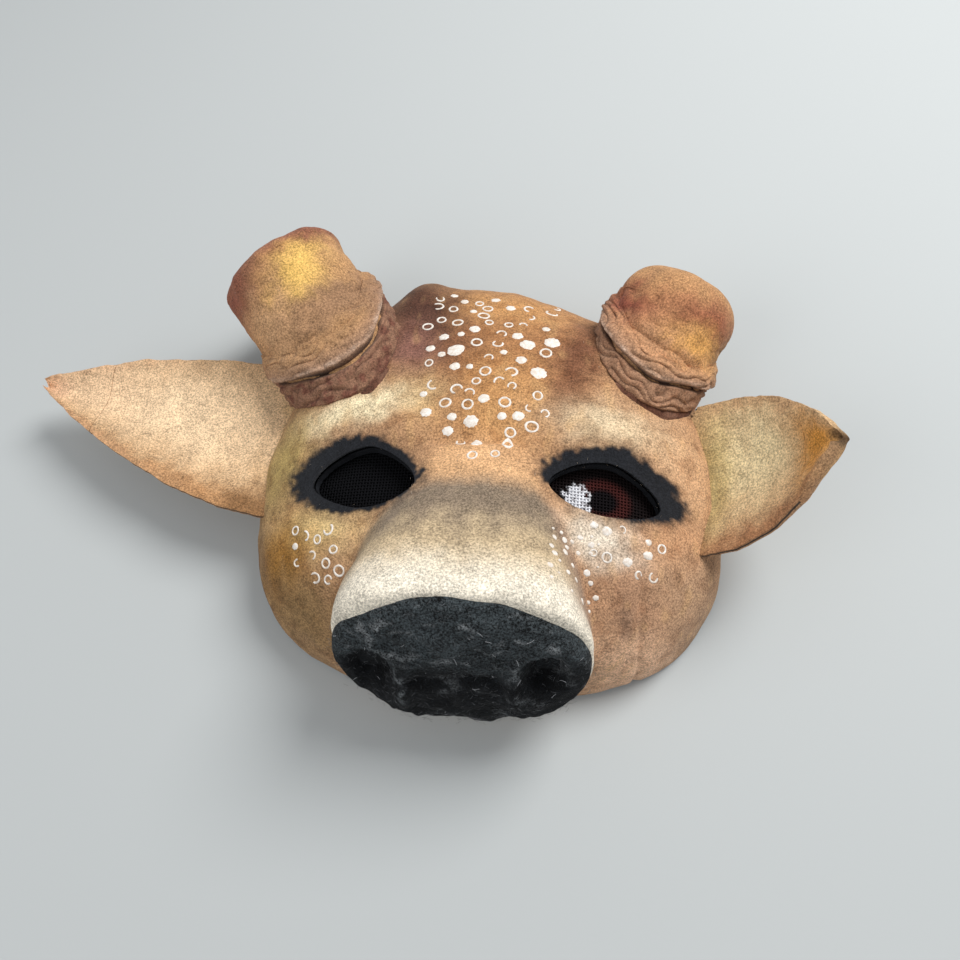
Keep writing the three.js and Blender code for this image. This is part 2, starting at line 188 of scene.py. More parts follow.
def walled(outer, inner, faces):
    """Closed shell between two copies of a sheet: points, faces and which points are outside."""
    used = np.unique(faces)
    place = -np.ones(len(outer), int)
    place[used] = np.arange(len(used))
    sheet = place[faces]
    count = len(used)
    edges = np.concatenate([sheet[:, [k, (k + 1) % 4]] for k in range(4)])
    edges = edges[edges[:, 0] != edges[:, 1]]
    keys = {(a, b) for a, b in edges.tolist()}
    rim = [(b, a, a + count, b + count) for a, b in keys if (b, a) not in keys]
    all_faces = [face for face in sheet.tolist()]
    all_faces += [[q + count for q in reversed(face)] for face in sheet.tolist()]
    all_faces += [list(quad) for quad in rim]
    tidy = [list(dict.fromkeys(face)) for face in all_faces]
    tidy = [face for face in tidy if len(face) > 2]
    return np.concatenate([outer[used], inner[used]]), tidy, used


def wobble(points, size, seed):
    """Smooth noise, about -1..1, at points in millimetres; size is the width of one bump."""
    shift = Vector((seed * 17.3, seed * 5.1, seed * 9.7))
    return np.array([noise.noise(Vector(point) / size + shift) for point in points]) * 1.6


def ramp(value, low, high):
    t = np.clip((value - low) / (high - low), 0, 1)
    return t * t * (3 - 2 * t)


def mix(base, colour, share):
    return base + (np.asarray(colour) - base) * np.asarray(share)[:, None]


# %% [markdown]
# Felt is the main material: matted fibres with a fine grain, soft blotches where acrylic paint has
# soaked in unevenly, and darker pores. One shader node group makes that grain, and every felt piece
# uses it with its own strengths, so the pieces match as cloth from one bolt does. The paint itself
# is a colour stored at the points.

# %% Felt grain group
def new_group(name, inputs, outputs):
    group = bpy.data.node_groups.new(name, "ShaderNodeTree")
    for title, kind, value in inputs:
        socket = group.interface.new_socket(title, in_out="INPUT", socket_type=kind)
        if value is not None:
            socket.default_value = value
    for title, kind in outputs:
        group.interface.new_socket(title, in_out="OUTPUT", socket_type=kind)
    return group, group.nodes.new("NodeGroupInput"), group.nodes.new("NodeGroupOutput")


def add_node(tree, kind, inputs, **settings):
    """Adds a node; each of its named inputs gets a value, or a link if another node's output is given."""
    node = tree.nodes.new(kind)
    for title, value in settings.items():
        setattr(node, title, value)
    for title, value in inputs.items():
        if isinstance(value, bpy.types.NodeSocket):
            tree.links.new(value, node.inputs[title])
        else:
            node.inputs[title].default_value = value
    return node


def noise_node(tree, vector, scale, detail=4.0, roughness=0.6, distortion=0.0):
    return add_node(tree, "ShaderNodeTexNoise", {
        "Vector": vector, "Scale": scale, "Detail": detail, "Roughness": roughness,
        "Distortion": distortion}).outputs["Fac"]


def math_node(tree, operation, first, second, clamp=False):
    return add_node(tree, "ShaderNodeMath", {0: first, 1: second},
                    operation=operation, use_clamp=clamp).outputs[0]


def range_node(tree, value, low, high, to_low, to_high):
    return add_node(tree, "ShaderNodeMapRange", {
        "Value": value, "From Min": low, "From Max": high, "To Min": to_low,
        "To Max": to_high}).outputs["Result"]


def stretched(tree, vector, scale, turn):
    return add_node(tree, "ShaderNodeMapping",
                    {"Vector": vector, "Scale": scale, "Rotation": turn}).outputs["Vector"]


def felt_grain_group():
    group, start, end = new_group(
        "felt_grain",
        [("Colour", "NodeSocketColor", (0.5, 0.4, 0.3, 1)), ("Blotches", "NodeSocketFloat", 0.25),
         ("Grain", "NodeSocketFloat", 0.25)],
        [("Colour", "NodeSocketColor"), ("Height", "NodeSocketFloat")])
    place = group.nodes.new("ShaderNodeTexCoord").outputs["Object"]
    blotches = noise_node(group, place, 160, 5, 0.65, 0.4)
    specks = noise_node(group, place, 1500, 4, 0.75)
    threads = [noise_node(group, stretched(group, place, scale, turn), 380, 4, 0.7, 2.2)
               for scale, turn in (((1, 4, 3), (0.3, 0, 0.5)), ((4, 1.2, 3), (0, 0.4, -0.9)))]
    thread = math_node(group, "ADD", threads[0], threads[1])
    thread = math_node(group, "MULTIPLY", thread, 0.5)
    height = math_node(group, "ADD", math_node(group, "MULTIPLY", specks, 0.72),
                       math_node(group, "MULTIPLY", thread, 0.28))
    patchy = range_node(group, blotches, 0.3, 0.7, -0.5, 0.5)
    grainy = range_node(group, height, 0.41, 0.60, -0.6, 0.4)
    tint = math_node(group, "ADD", math_node(group, "MULTIPLY", patchy, start.outputs["Blotches"]),
                     math_node(group, "MULTIPLY", grainy, start.outputs["Grain"]))
    tint = math_node(group, "ADD", tint, 1.0)
    scale = add_node(group, "ShaderNodeVectorMath", {0: start.outputs["Colour"], "Scale": tint},
                     operation="SCALE")
    group.links.new(scale.outputs[0], end.inputs["Colour"])
    group.links.new(height, end.inputs["Height"])
    return group


FELT_GRAIN = felt_grain_group()


def add_bump(tree, shader, height, strength, depth):
    bump = add_node(tree, "ShaderNodeBump", {"Strength": strength, "Distance": depth, "Height": height})
    tree.links.new(bump.outputs["Normal"], shader.inputs["Normal"])


def felt(name, colour=None, blotches=0.34, grain=0.85, bump=0.5, depth=0.0007, sheen=0.06):
    """Felt material: its colour is the points' paint, or one colour varied by the grain."""
    material = bpy.data.materials.new(name)
    material.use_nodes = True
    tree = material.node_tree
    shader = tree.nodes["Principled BSDF"]
    grain_node = tree.nodes.new("ShaderNodeGroup")
    grain_node.node_tree = FELT_GRAIN
    grain_node.inputs["Blotches"].default_value = blotches
    grain_node.inputs["Grain"].default_value = grain
    if colour is None:
        paint = tree.nodes.new("ShaderNodeAttribute")
        paint.attribute_name = "paint"
        tree.links.new(paint.outputs["Color"], grain_node.inputs["Colour"])
    else:
        grain_node.inputs["Colour"].default_value = (*colour, 1)
    tree.links.new(grain_node.outputs["Colour"], shader.inputs["Base Color"])
    add_bump(tree, shader, grain_node.outputs["Height"], bump, depth)
    shader.inputs["Roughness"].default_value = 0.88
    shader.inputs["Specular IOR Level"].default_value = 0.12
    shader.inputs["Sheen Weight"].default_value = sheen
    shader.inputs["Sheen Roughness"].default_value = 0.5
    return material


PAINTED_FELT = felt("painted_felt")
print("felt material:", PAINTED_FELT.name)

# %% [markdown]
# The face is one dome with the muzzle growing out of it. Each is a closed formula whose value is
# below 1 inside. A ray from a point inside the head meets each of them once, so the skin is the
# longer of the two reaches, blended where they are close, which gives the soft valley that felt
# makes when it is stretched over both.

# %% Head and muzzle formulas
HALF_WIDTH, FOREHEAD_LENGTH, DOME_HEIGHT = 86.0, 100.0, 49.0
BRIDGE_Y, NOSE_Y, NOSE_LEAN = 12.0, -58.0, 0.4
BRIDGE_HALF, NOSE_HALF = 23.0, 42.0
BRIDGE_TOP, NOSE_TOP = 49.0, 72.0
BRIDGE_BOTTOM, NOSE_BOTTOM = 8.0, 14.0
FELT, GAP = 1.6, 0.3
SKIN = FELT + GAP
EDGE_POWER = 16  # lower is rounder, where the muzzle turns into its front
INSIDE = np.array([0.0, 5.0, 14.0])


def dome_value(p, grow):
    length = np.where(p[:, 1] > 0, FOREHEAD_LENGTH + grow, CHIN_LENGTH + grow)
    outline = np.abs(p[:, 0] / (HALF_WIDTH + grow)) ** 2.5 + np.abs(p[:, 1] / length) ** 2.5
    return outline ** 0.92 + np.abs(p[:, 2] / (DOME_HEIGHT + grow)) ** 2.3


def along_muzzle(p):
    """How far a point lies from the bridge, 0, to the nose, 1, in sections that lean back."""
    middle = (BRIDGE_TOP + BRIDGE_BOTTOM) / 2
    rise = (NOSE_TOP + NOSE_BOTTOM) / 2 - middle
    a = -NOSE_LEAN * rise
    b = NOSE_Y - BRIDGE_Y + NOSE_LEAN * (p[:, 2] - middle)
    c = BRIDGE_Y - p[:, 1]
    return (-b - np.sqrt(np.maximum(b * b - 4 * a * c, 0))) / (2 * a)


def muzzle_section(share, grow):
    half = BRIDGE_HALF + (NOSE_HALF - BRIDGE_HALF) * share + grow
    top = BRIDGE_TOP + (NOSE_TOP - BRIDGE_TOP) * share + grow
    bottom = BRIDGE_BOTTOM + (NOSE_BOTTOM - BRIDGE_BOTTOM) * share - grow
    return half, (top - bottom) / 2, (top + bottom) / 2


def muzzle_value(p, grow):
    share = along_muzzle(p)
    half, tall, middle = muzzle_section(np.clip(share, 0, 1.2), grow)
    value = np.abs(p[:, 0] / half) ** 2.5 + np.abs((p[:, 2] - middle) / tall) ** 2.5
    rounded = (np.clip(value, 0, 3) ** EDGE_POWER + np.clip(share, 0, 3) ** EDGE_POWER) ** (1 / EDGE_POWER)
    return np.maximum(rounded, 1 - 10 * share)


def reach(value, directions, grow):
    """Distance from the inside point to the surface along each direction."""
    near = np.zeros(len(directions))
    far = np.full(len(directions), 160.0)
    for _ in range(26):
        half = (near + far) / 2
        inside = value(INSIDE + directions * half[:, None], grow) < 1
        near = np.where(inside, half, near)
        far = np.where(inside, far, half)
    return near


def blended(first, second, width):
    """The larger of two reaches, rounded over a width in millimetres."""
    overlap = np.maximum(width - np.abs(first - second), 0)
    return np.maximum(first, second) + overlap ** 2 / (4 * width)


AROUND, UP = 440, 132
HEM = 1.3


def ray_directions(around, up):
    """Directions from the rim's hem to straight up, row by row; the last row is the top."""
    turn = np.linspace(0, 2 * np.pi, around, endpoint=False)
    flat = np.stack([np.cos(turn), np.sin(turn), np.zeros(around)], 1)
    rim = np.full(around, 60.0)
    for _ in range(30):
        lean = np.arctan2(HEM - INSIDE[2], rim)
        rays = flat * np.cos(lean)[:, None] + np.array([0, 0, 1]) * np.sin(lean)[:, None]
        rim = reach(dome_value, rays, SKIN) * np.cos(lean)
    steps = np.linspace(0, 1, up)[:, None]
    tilt = lean[None] + (np.pi / 2 - lean[None]) * steps
    rays = flat[None] * np.cos(tilt)[..., None] + np.array([0, 0, 1.0]) * np.sin(tilt)[..., None]
    return rays.reshape(-1, 3)


rays = ray_directions(AROUND, UP)
to_dome = reach(dome_value, rays, SKIN)
to_muzzle = reach(muzzle_value, rays, SKIN)


def relaxed(values, rounds):
    """A reach for each ray, evened out with its neighbours; the hem and the top stay."""
    grid = values.reshape(UP, AROUND).copy()
    for _ in range(rounds):
        grid = (np.roll(grid, 1, 1) + 2 * grid + np.roll(grid, -1, 1)) / 4
        grid[1:-1] = (grid[:-2] + 2 * grid[1:-1] + grid[2:]) / 4
    grid[-1] = grid[-1].mean()
    return grid.ravel()


skin_points = INSIDE + rays * relaxed(blended(to_dome, to_muzzle, 9.0), 3)[:, None]
skin_faces = grid_faces(UP, AROUND, around=True)
print("head grid:", skin_points.shape[0], "points")

# %% [markdown]
# Handwork is never even. The skin gets slow swells, a low brow ridge over each eye, hollow eye
# sockets and a shallow groove where two felt pieces meet on the right cheek.

# %% Unevenness, brows and the cheek seam
JAW_SEAM_X = 57.0
EYES = {
    "left": {"x": -39.0, "y": -1.0, "half": 19.6, "upper": 14.4, "lower": 8.8, "turn": -6.0},
    "right": {"x": 43.7, "y": -0.6, "half": 19.0, "upper": 11.4, "lower": 8.2, "turn": -5.0},
}


SOCKET_MARGIN, SOCKET_DEPTH = 4.0, 1.6


def eye_measure(p, eye, margin=0.0, ragged=0.0):
    """Below 1 inside an eye's almond outline, seen from above, widened by a margin."""
    turn = math.radians(eye["turn"])
    dx, dy = p[:, 0] - eye["x"], p[:, 1] - eye["y"]
    along = dx * math.cos(turn) + dy * math.sin(turn)
    across = dy * math.cos(turn) - dx * math.sin(turn)
    tall = np.where(across > 0, eye["upper"], eye["lower"]) + margin
    value = (np.abs(along) / (eye["half"] + margin)) ** 1.55 + (np.abs(across) / tall) ** 1.75
    return value ** 0.6 + ragged


def sockets(p):
    """1 in the hollows round the eyes, and 0 away from them."""
    return sum(np.exp(-(eye_measure(p, eye, SOCKET_MARGIN) / 1.25) ** 4) for eye in EYES.values())


def push(points, normals, amount):
    return points + normals * amount[:, None]


normals = point_normals(skin_points, skin_faces)
swell = (wobble(skin_points, 34, 1) * 1.1 + wobble(skin_points, 13, 2) * 0.45
         + wobble(skin_points, 5, 3) * 0.14)
brow = sum(np.exp(-(((skin_points[:, 0] - x) / 24) ** 2 + ((skin_points[:, 1] - 22) / 9) ** 2))
           for x in (-38.0, 42.0))
seam_run = ramp(-skin_points[:, 1], 16, 24)
seam = np.exp(-((skin_points[:, 0] - JAW_SEAM_X) / 0.9) ** 2) * seam_run
swell = swell - SOCKET_DEPTH * sockets(skin_points) + 1.5 * brow - 1.1 * seam
skin_points = push(skin_points, normals, swell)


def crown(p):
    """The top of the forehead: fuller beside the left antler and lower beside the right one."""
    full = (np.exp(-((p[:, 0] + 33) / 14) ** 2) * 8.0 + np.exp(-((p[:, 0] + 4) / 20) ** 2) * 2.5
            - np.exp(-((p[:, 0] - 38) / 18) ** 2) * 3.5)
    return full * ramp(p[:, 1], 52, 92) * ramp(p[:, 2], 2, 18)


bulge = crown(skin_points)
skin_points[:, 1] += bulge
skin_points[:, 2] += np.maximum(bulge, 0) * 0.45
on_hem = np.arange(AROUND)
skin_points[on_hem, 2] = HEM
normals = point_normals(skin_points, skin_faces)
print("skin height:", skin_points[:, 2].max().round(1), "mm")

# %% [markdown]
# The paint. A maker lays thin acrylic washes over tan felt: rust over the forehead, cream round the
# muzzle and over the brows, ochre on the left cheek, maroon by the antlers, and ragged black round
# the eyes. Each wash is a soft patch with its own centre and reach, and noise breaks its edge.

# %% Washes of paint on the face
TAN = (0.50, 0.29, 0.155)
RUST = (0.33, 0.145, 0.058)
ORANGE = (0.60, 0.31, 0.115)
CREAM = (0.71, 0.56, 0.36)
PALE = (0.84, 0.76, 0.62)
GREY_BROWN = (0.20, 0.15, 0.11)
DARK_BROWN = (0.13, 0.068, 0.037)
PEACH = (0.68, 0.42, 0.235)
BLACK = (0.015, 0.016, 0.019)

# name of the wash, centre x and y, reach across and along, turn in degrees, colour, strength
FACE_WASHES = [
    ("rust over the forehead", 4, 60, 46, 44, 0, RUST, 0.92),
    ("deep rust, left of the middle", -14, 60, 9, 26, 8, (0.24, 0.095, 0.045), 0.55),
    ("orange top of the forehead", 2, 82, 30, 14, -8, ORANGE, 0.8),
    ("orange stripe up the brow", 6, 30, 17, 24, 0, ORANGE, 0.75),
    ("yellow streak, left brow", -24, 36, 9, 13, 20, (0.70, 0.46, 0.20), 0.7),
    ("cream over the left brow", -46, 29, 22, 7, 14, (0.92, 0.78, 0.50), 0.95),
    ("cream over the right brow", 44, 25, 22, 9, -6, CREAM, 0.85),
    ("pale bridge", 4, 4, 16, 9, 0, (0.85, 0.50, 0.26), 0.85),
    ("dark by the left antler", -29, 78, 17, 28, 14, (0.085, 0.035, 0.022), 1.0),
    ("mauve by the left antler", -29, 56, 10, 15, 12, (0.25, 0.115, 0.085), 0.95),
    ("maroon by the right antler", 33, 54, 8, 26, -14, (0.17, 0.066, 0.035), 0.85),
    ("olive left temple", -74, 12, 14, 22, 0, (0.42, 0.31, 0.10), 0.85),
    ("peach right temple", 70, 10, 16, 16, 0, PEACH, 0.6),
    ("yellow under the left eye", -56, -17, 20, 9, 0, (0.70, 0.52, 0.24), 0.9),
    ("ochre left cheek", -67, -27, 14, 17, 0, (0.34, 0.155, 0.025), 0.98),
    ("brown left jaw", -57, -44, 22, 12, -28, (0.27, 0.165, 0.07), 0.9),
    ("dark left rim", -82, -28, 8, 26, 10, (0.19, 0.115, 0.055), 0.75),
    ("pale under the right eye", 44, -17, 15, 9, -8, PALE, 0.9),
    ("orange right cheek", 68, -15, 15, 9, 0, (0.55, 0.28, 0.135), 0.85),
    ("tan right cheek", 54, -35, 18, 14, 0, (0.46, 0.25, 0.145), 0.8),
    ("smudge on the right cheek", 52, -40, 4, 8, 0, (0.22, 0.13, 0.085), 0.7),
    ("brown right jaw", 76, -30, 16, 20, 0, (0.44, 0.27, 0.16), 0.8),
    ("tan low right jaw", 58, -54, 20, 11, 0, (0.84, 0.53, 0.34), 0.9),
]


def wash(p, x, y, across, along, turn):
    angle = math.radians(turn)
    dx, dy = p[:, 0] - x, p[:, 1] - y
    u = (dx * math.cos(angle) + dy * math.sin(angle)) / across
    v = (dy * math.cos(angle) - dx * math.sin(angle)) / along
    return np.exp(-(u * u + v * v) ** 1.25)


broken = wobble(skin_points, 7, 5) * 2.2 + wobble(skin_points, 2.4, 6) * 1.0
drift = np.stack([broken, wobble(skin_points, 8, 8) * 2.2, np.zeros(len(skin_points))], 1)
brushed = skin_points + drift
face_paint = np.tile(np.array(TAN), (len(skin_points), 1))
for _, x, y, across, along, turn, colour, strength in FACE_WASHES:
    face_paint = mix(face_paint, colour, wash(brushed, x, y, across, along, turn) * strength)
stain = ramp(wobble(skin_points, 5.5, 14) + wobble(skin_points, 2.2, 15) * 0.6, 0.05, 0.9)
face_paint *= (1 - 0.24 * stain)[:, None] ** np.array([0.8, 1.0, 1.15])
bright = ramp(wobble(skin_points * [1.0, 0.45, 1.0], 4.0, 16), 0.35, 1.0)
face_paint = mix(face_paint, (0.72, 0.44, 0.19), bright * 0.22)
print(len(FACE_WASHES), "washes on the face")

# %% [markdown]
# The muzzle has its own paint: grey-brown at the bridge, tan in the middle and near white by the
# nose, laid by how far along the muzzle a point is. Then comes ragged black round each eye.

# %% Muzzle paint and the black round the eyes
is_muzzle = to_muzzle > to_dome
share = along_muzzle(skin_points)
muzzle_mask = ramp(to_muzzle - to_dome, -3.0, 3.5)
muzzle_colour = np.tile(np.array((0.60, 0.455, 0.275)), (len(skin_points), 1))
muzzle_colour = mix(muzzle_colour, PALE, ramp(share + broken * 0.012, 0.62, 0.95))
muzzle_colour = mix(muzzle_colour, GREY_BROWN, (1 - ramp(share + broken * 0.03, 0.32, 0.78)) * 0.9)
muzzle_colour = mix(muzzle_colour, (0.72, 0.42, 0.21), (1 - ramp(share + broken * 0.01, 0.13, 0.33)) * 0.95)
side = ramp(np.abs(skin_points[:, 0]) / muzzle_section(np.clip(share, 0, 1), SKIN)[0], 0.74, 0.98)
side = side * (1 - ramp(share, 0.80, 0.97))
side_colour = np.where((skin_points[:, 0] > 0)[:, None], (0.30, 0.185, 0.125), (0.33, 0.23, 0.13))
muzzle_colour = muzzle_colour + (side_colour - muzzle_colour) * (side * 0.85)[:, None]
face_paint = face_paint + (muzzle_colour - face_paint) * muzzle_mask[:, None]

LASH_BLACK = {
    "left": {"x": -43.0, "y": 0.6, "half": 26.8, "upper": 18.2, "lower": 13.2, "turn": -4.0},
    "right": {"x": 46.8, "y": 1.6, "half": 26.2, "upper": 15.6, "lower": 11.2, "turn": -7.0},
}
ragged = wobble(skin_points, 2.2, 11) * 0.07 + wobble(skin_points, 5.5, 12) * 0.05
for eye in LASH_BLACK.values():
    black = 1 - ramp(eye_measure(skin_points, eye, 0.0, ragged), 0.90, 1.06)
    face_paint = mix(face_paint, BLACK, black)
    smoke = (1 - ramp(eye_measure(skin_points, eye, 3.5, ragged), 0.85, 1.1)) * 0.35
    face_paint = mix(face_paint, DARK_BROWN, smoke * (1 - black))
print("muzzle points:", int(is_muzzle.sum()))

# %% [markdown]
# The grid is now cut into the felt pieces of the real mask. Each piece keeps the same points along a
# seam as its neighbour, and the same normals, so the painted surface runs on across it. The points
# round an eye opening are drawn onto the almond outline, so the hole has a clean cut edge.

# %% Cut the skin into its felt pieces
EYE_ROUNDS, EYE_PULL = 6, 0.8


def eyes_cut(points, faces):
    """The faces outside the eyes, with the points along the cut drawn onto the almond outlines."""
    middles = points[faces].mean(1)
    inside = np.zeros(len(faces), bool)
    for eye in EYES.values():
        inside |= eye_measure(middles, eye) < 1
    stay, gone = faces[~inside], faces[inside]
    edge = np.intersect1d(stay, gone)
    for eye in EYES.values():
        chosen = edge[np.abs(points[edge, 0] - eye["x"]) < 30]
        middle = np.array([eye["x"], eye["y"]])
        for _ in range(EYE_ROUNDS):
            measure = eye_measure(points[chosen], eye)
            points[chosen, :2] = middle + (points[chosen, :2] - middle) / (measure[:, None] ** EYE_PULL)
    return stay


kept = eyes_cut(skin_points, skin_faces)
skin_inner = skin_points - normals * FELT
kept_centres = skin_points[kept].mean(1)
front_share = along_muzzle(kept_centres)
front_half, front_tall, front_middle = muzzle_section(np.clip(front_share, 0, 1), SKIN)
front_value = (np.abs(kept_centres[:, 0] / front_half) ** 2.5
               + np.abs((kept_centres[:, 2] - front_middle) / front_tall) ** 2.5)
behind_nose = (front_share > 0.9) & (front_value < 0.66)
kept, kept_centres = kept[~behind_nose], kept_centres[~behind_nose]
kept_is_muzzle = is_muzzle[kept].mean(1) > 0.5
SEAM_Y = 1.0
regions = {
    "muzzle_felt": kept_is_muzzle,
    "forehead_felt": ~kept_is_muzzle & (kept_centres[:, 1] > SEAM_Y),
    "left_cheek_felt": ~kept_is_muzzle & (kept_centres[:, 1] <= SEAM_Y) & (kept_centres[:, 0] < 0),
    "right_cheek_felt": ~kept_is_muzzle & (kept_centres[:, 1] <= SEAM_Y)
    & (kept_centres[:, 0] >= 0) & (kept_centres[:, 0] < JAW_SEAM_X),
    "right_jaw_felt": ~kept_is_muzzle & (kept_centres[:, 1] <= SEAM_Y) & (kept_centres[:, 0] >= JAW_SEAM_X),
}


def finish_piece(thing, material, slot, *nodes):
    """Gives a piece its material and its place in the frame's book-keeping."""
    thing.data.materials.clear()
    thing.data.materials.append(material)
    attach(thing, "root")
    if nodes:
        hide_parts(*nodes)
    return thing


SKIN_SLOTS = {"muzzle_felt": "felt_cream", "forehead_felt": "felt_rust", "left_cheek_felt": "felt_ochre",
              "right_cheek_felt": "felt_tan", "right_jaw_felt": "felt_tan"}
face_pieces = {}
for name, chosen in regions.items():
    points, faces, used = walled(skin_points, skin_inner, kept[chosen])
    both = np.concatenate([used, used])
    outward = np.concatenate([normals[used], -normals[used]])
    piece = smooth_object(name + "_cloth", points, faces, face_paint[both], outward)
    face_pieces[name] = finish_piece(piece, PAINTED_FELT, SKIN_SLOTS[name], name)
    print(name, len(faces), "faces")

# %% [markdown]
# Under the felt lies the stiff shell. It is laminated paper pulp: a pale, slightly lumpy wall whose
# inside shows through the eye holes and from below. It follows the same swells as the felt, so the
# two never cross.

# %% Shell
SHELL_WALL = 2.5
SHELL_AROUND, SHELL_UP = 260, 80


def swells(p):
    return wobble(p, 34, 1) * 1.1 + wobble(p, 13, 2) * 0.45


def plain_material(name, colour, second, scale, roughness, bump, depth, detail=5.0):
    """Two mixed colours over a noise, with relief from the same noise."""
    material = bpy.data.materials.new(name)
    material.use_nodes = True
    tree = material.node_tree
    shader = tree.nodes["Principled BSDF"]
    place = tree.nodes.new("ShaderNodeTexCoord").outputs["Object"]
    pattern = noise_node(tree, place, scale, detail, 0.65, 0.3)
    blend = tree.nodes.new("ShaderNodeMix")
    blend.data_type = "RGBA"
    blend.inputs["A"].default_value = (*colour, 1)
    blend.inputs["B"].default_value = (*second, 1)
    tree.links.new(range_node(tree, pattern, 0.32, 0.68, 0, 1), blend.inputs["Factor"])
    tree.links.new(blend.outputs["Result"], shader.inputs["Base Color"])
    add_bump(tree, shader, pattern, bump, depth)
    shader.inputs["Roughness"].default_value = roughness
    return material


PULP = felt("paper_pulp", blotches=0.5, grain=0.35, bump=0.6, depth=0.0008, sheen=0.0)
shell_rays = ray_directions(SHELL_AROUND, SHELL_UP)
shell_reach = reach(dome_value, shell_rays, 0.0)
shell_points = INSIDE + shell_rays * shell_reach[:, None]
shell_faces = grid_faces(SHELL_UP, SHELL_AROUND, around=True)
shell_normals = point_normals(shell_points, shell_faces)
shell_swell = swells(shell_points) - SOCKET_DEPTH * sockets(shell_points) - 0.3
shell_points = push(shell_points, shell_normals, shell_swell)
shell_points[:, 1] += np.minimum(crown(shell_points), 0)
shell_points[:SHELL_AROUND, 2] = 0.0
shell_kept = eyes_cut(shell_points, shell_faces)
points, faces, _ = walled(shell_points, shell_points - shell_normals * SHELL_WALL, shell_kept)
points[:, 2] = np.maximum(points[:, 2], 0.0)
pulp_paint = mix(np.tile((0.40, 0.35, 0.28), (len(points), 1)), (0.27, 0.22, 0.16),
                 ramp(wobble(points, 9, 61), -0.4, 0.6))
near_eye = np.minimum(*(eye_measure(points, eye) for eye in EYES.values()))
pulp_paint = mix(pulp_paint, BLACK, 1 - ramp(near_eye + wobble(points, 4, 62) * 0.06, 1.15, 1.35))
shell = finish_piece(smooth_object("shell_wall", points, faces, pulp_paint), PULP, "shell_pulp", "mask_base")
print("shell:", len(faces), "faces")

# %% [markdown]
# The muzzle is a block of soft foam between the shell and the felt. It can't be seen, but it is
# there, as on the real mask, with its underside cut to lie on the shell.

# %% Muzzle foam
FOAM = plain_material("pale_foam", (0.62, 0.56, 0.40), (0.50, 0.44, 0.30), 900, 1.0, 0.6, 0.0006)
FOAM_RINGS, FOAM_SIDES = 40, 96


def muzzle_ring(share, grow, inset=1.0):
    """Points of one leaning section of the muzzle; inset 1 is its edge and 0 its middle."""
    half, tall, middle = (float(value) for value in muzzle_section(share, grow))
    turn = np.linspace(0, 2 * np.pi, FOAM_SIDES, endpoint=False)
    x = half * inset * np.sign(np.cos(turn)) * np.abs(np.cos(turn)) ** 0.8
    z = middle + tall * inset * np.sign(np.sin(turn)) * np.abs(np.sin(turn)) ** 0.8
    y = BRIDGE_Y + (NOSE_Y - BRIDGE_Y) * share + NOSE_LEAN * share * (z - middle)
    return np.stack([x, y, z], 1)


def dome_height(x, y, grow):
    length = np.where(y > 0, FOREHEAD_LENGTH + grow, CHIN_LENGTH + grow)
    outline = (np.abs(x / (HALF_WIDTH + grow)) ** 2.5 + np.abs(y / length) ** 2.5) ** 0.92
    return (DOME_HEIGHT + grow) * np.maximum(1 - outline, 0) ** (1 / 2.3)


FOAM_INSET, FOAM_START, FOAM_END = -2.6, 0.42, 0.84
stations = ([muzzle_ring(FOAM_START, FOAM_INSET, inset) for inset in (0.02, 0.35, 0.7)]
            + [muzzle_ring(share, FOAM_INSET) for share in np.linspace(FOAM_START, FOAM_END, FOAM_RINGS)]
            + [muzzle_ring(FOAM_END, FOAM_INSET, inset) for inset in (0.7, 0.35, 0.02)])
foam_points = np.concatenate(stations)
bed = dome_height(foam_points[:, 0], foam_points[:, 1], -0.8)
foam_points[:, 2] = np.maximum(foam_points[:, 2], bed)
foam_faces = grid_faces(len(stations), FOAM_SIDES, around=True).tolist()
foam_faces.append(list(range(FOAM_SIDES))[::-1])
foam_faces.append([len(foam_points) - FOAM_SIDES + k for k in range(FOAM_SIDES)])
foam = finish_piece(smooth_object("muzzle_block", foam_points, foam_faces), FOAM, "foam", "muzzle_foam")
print("foam:", len(foam_faces), "faces")

# %% [markdown]
# A fawn's spots. The maker dabbed white acrylic with the end of a hollow stick: most dabs dried as
# rings, some as open rings, and a few as solid blobs. Each dab here is a small closed relief laid on
# the felt, so it catches the light as thick paint does. They are strewn by chance with a fixed seed,
# never closer together than the maker's.

# %% Fawn spots
SKIN_TREE = BVHTree.FromPolygons(skin_points.tolist(), skin_faces.tolist())
DAB_HEIGHT = 0.26
DAB_SIDES = 22
DAB_PROFILE = 6
SPOT_SEED = 9


def laid(centre, flat, height):
    """Points of a flat dab, laid on the head at a place: each is dropped onto the felt below it."""
    ground, normal, _, _ = SKIN_TREE.ray_cast(Vector((*centre, 120)), Vector((0, 0, -1)))
    first = normal.cross(Vector((0, 1, 0))).normalized()
    second = normal.cross(first)
    points = []
    for (a, b), lift in zip(flat, height):
        above = ground + first * a + second * b + normal * 4
        hit = SKIN_TREE.ray_cast(above, -normal)[0] or ground + first * a + second * b
        points.append(hit + normal * lift)
    return points


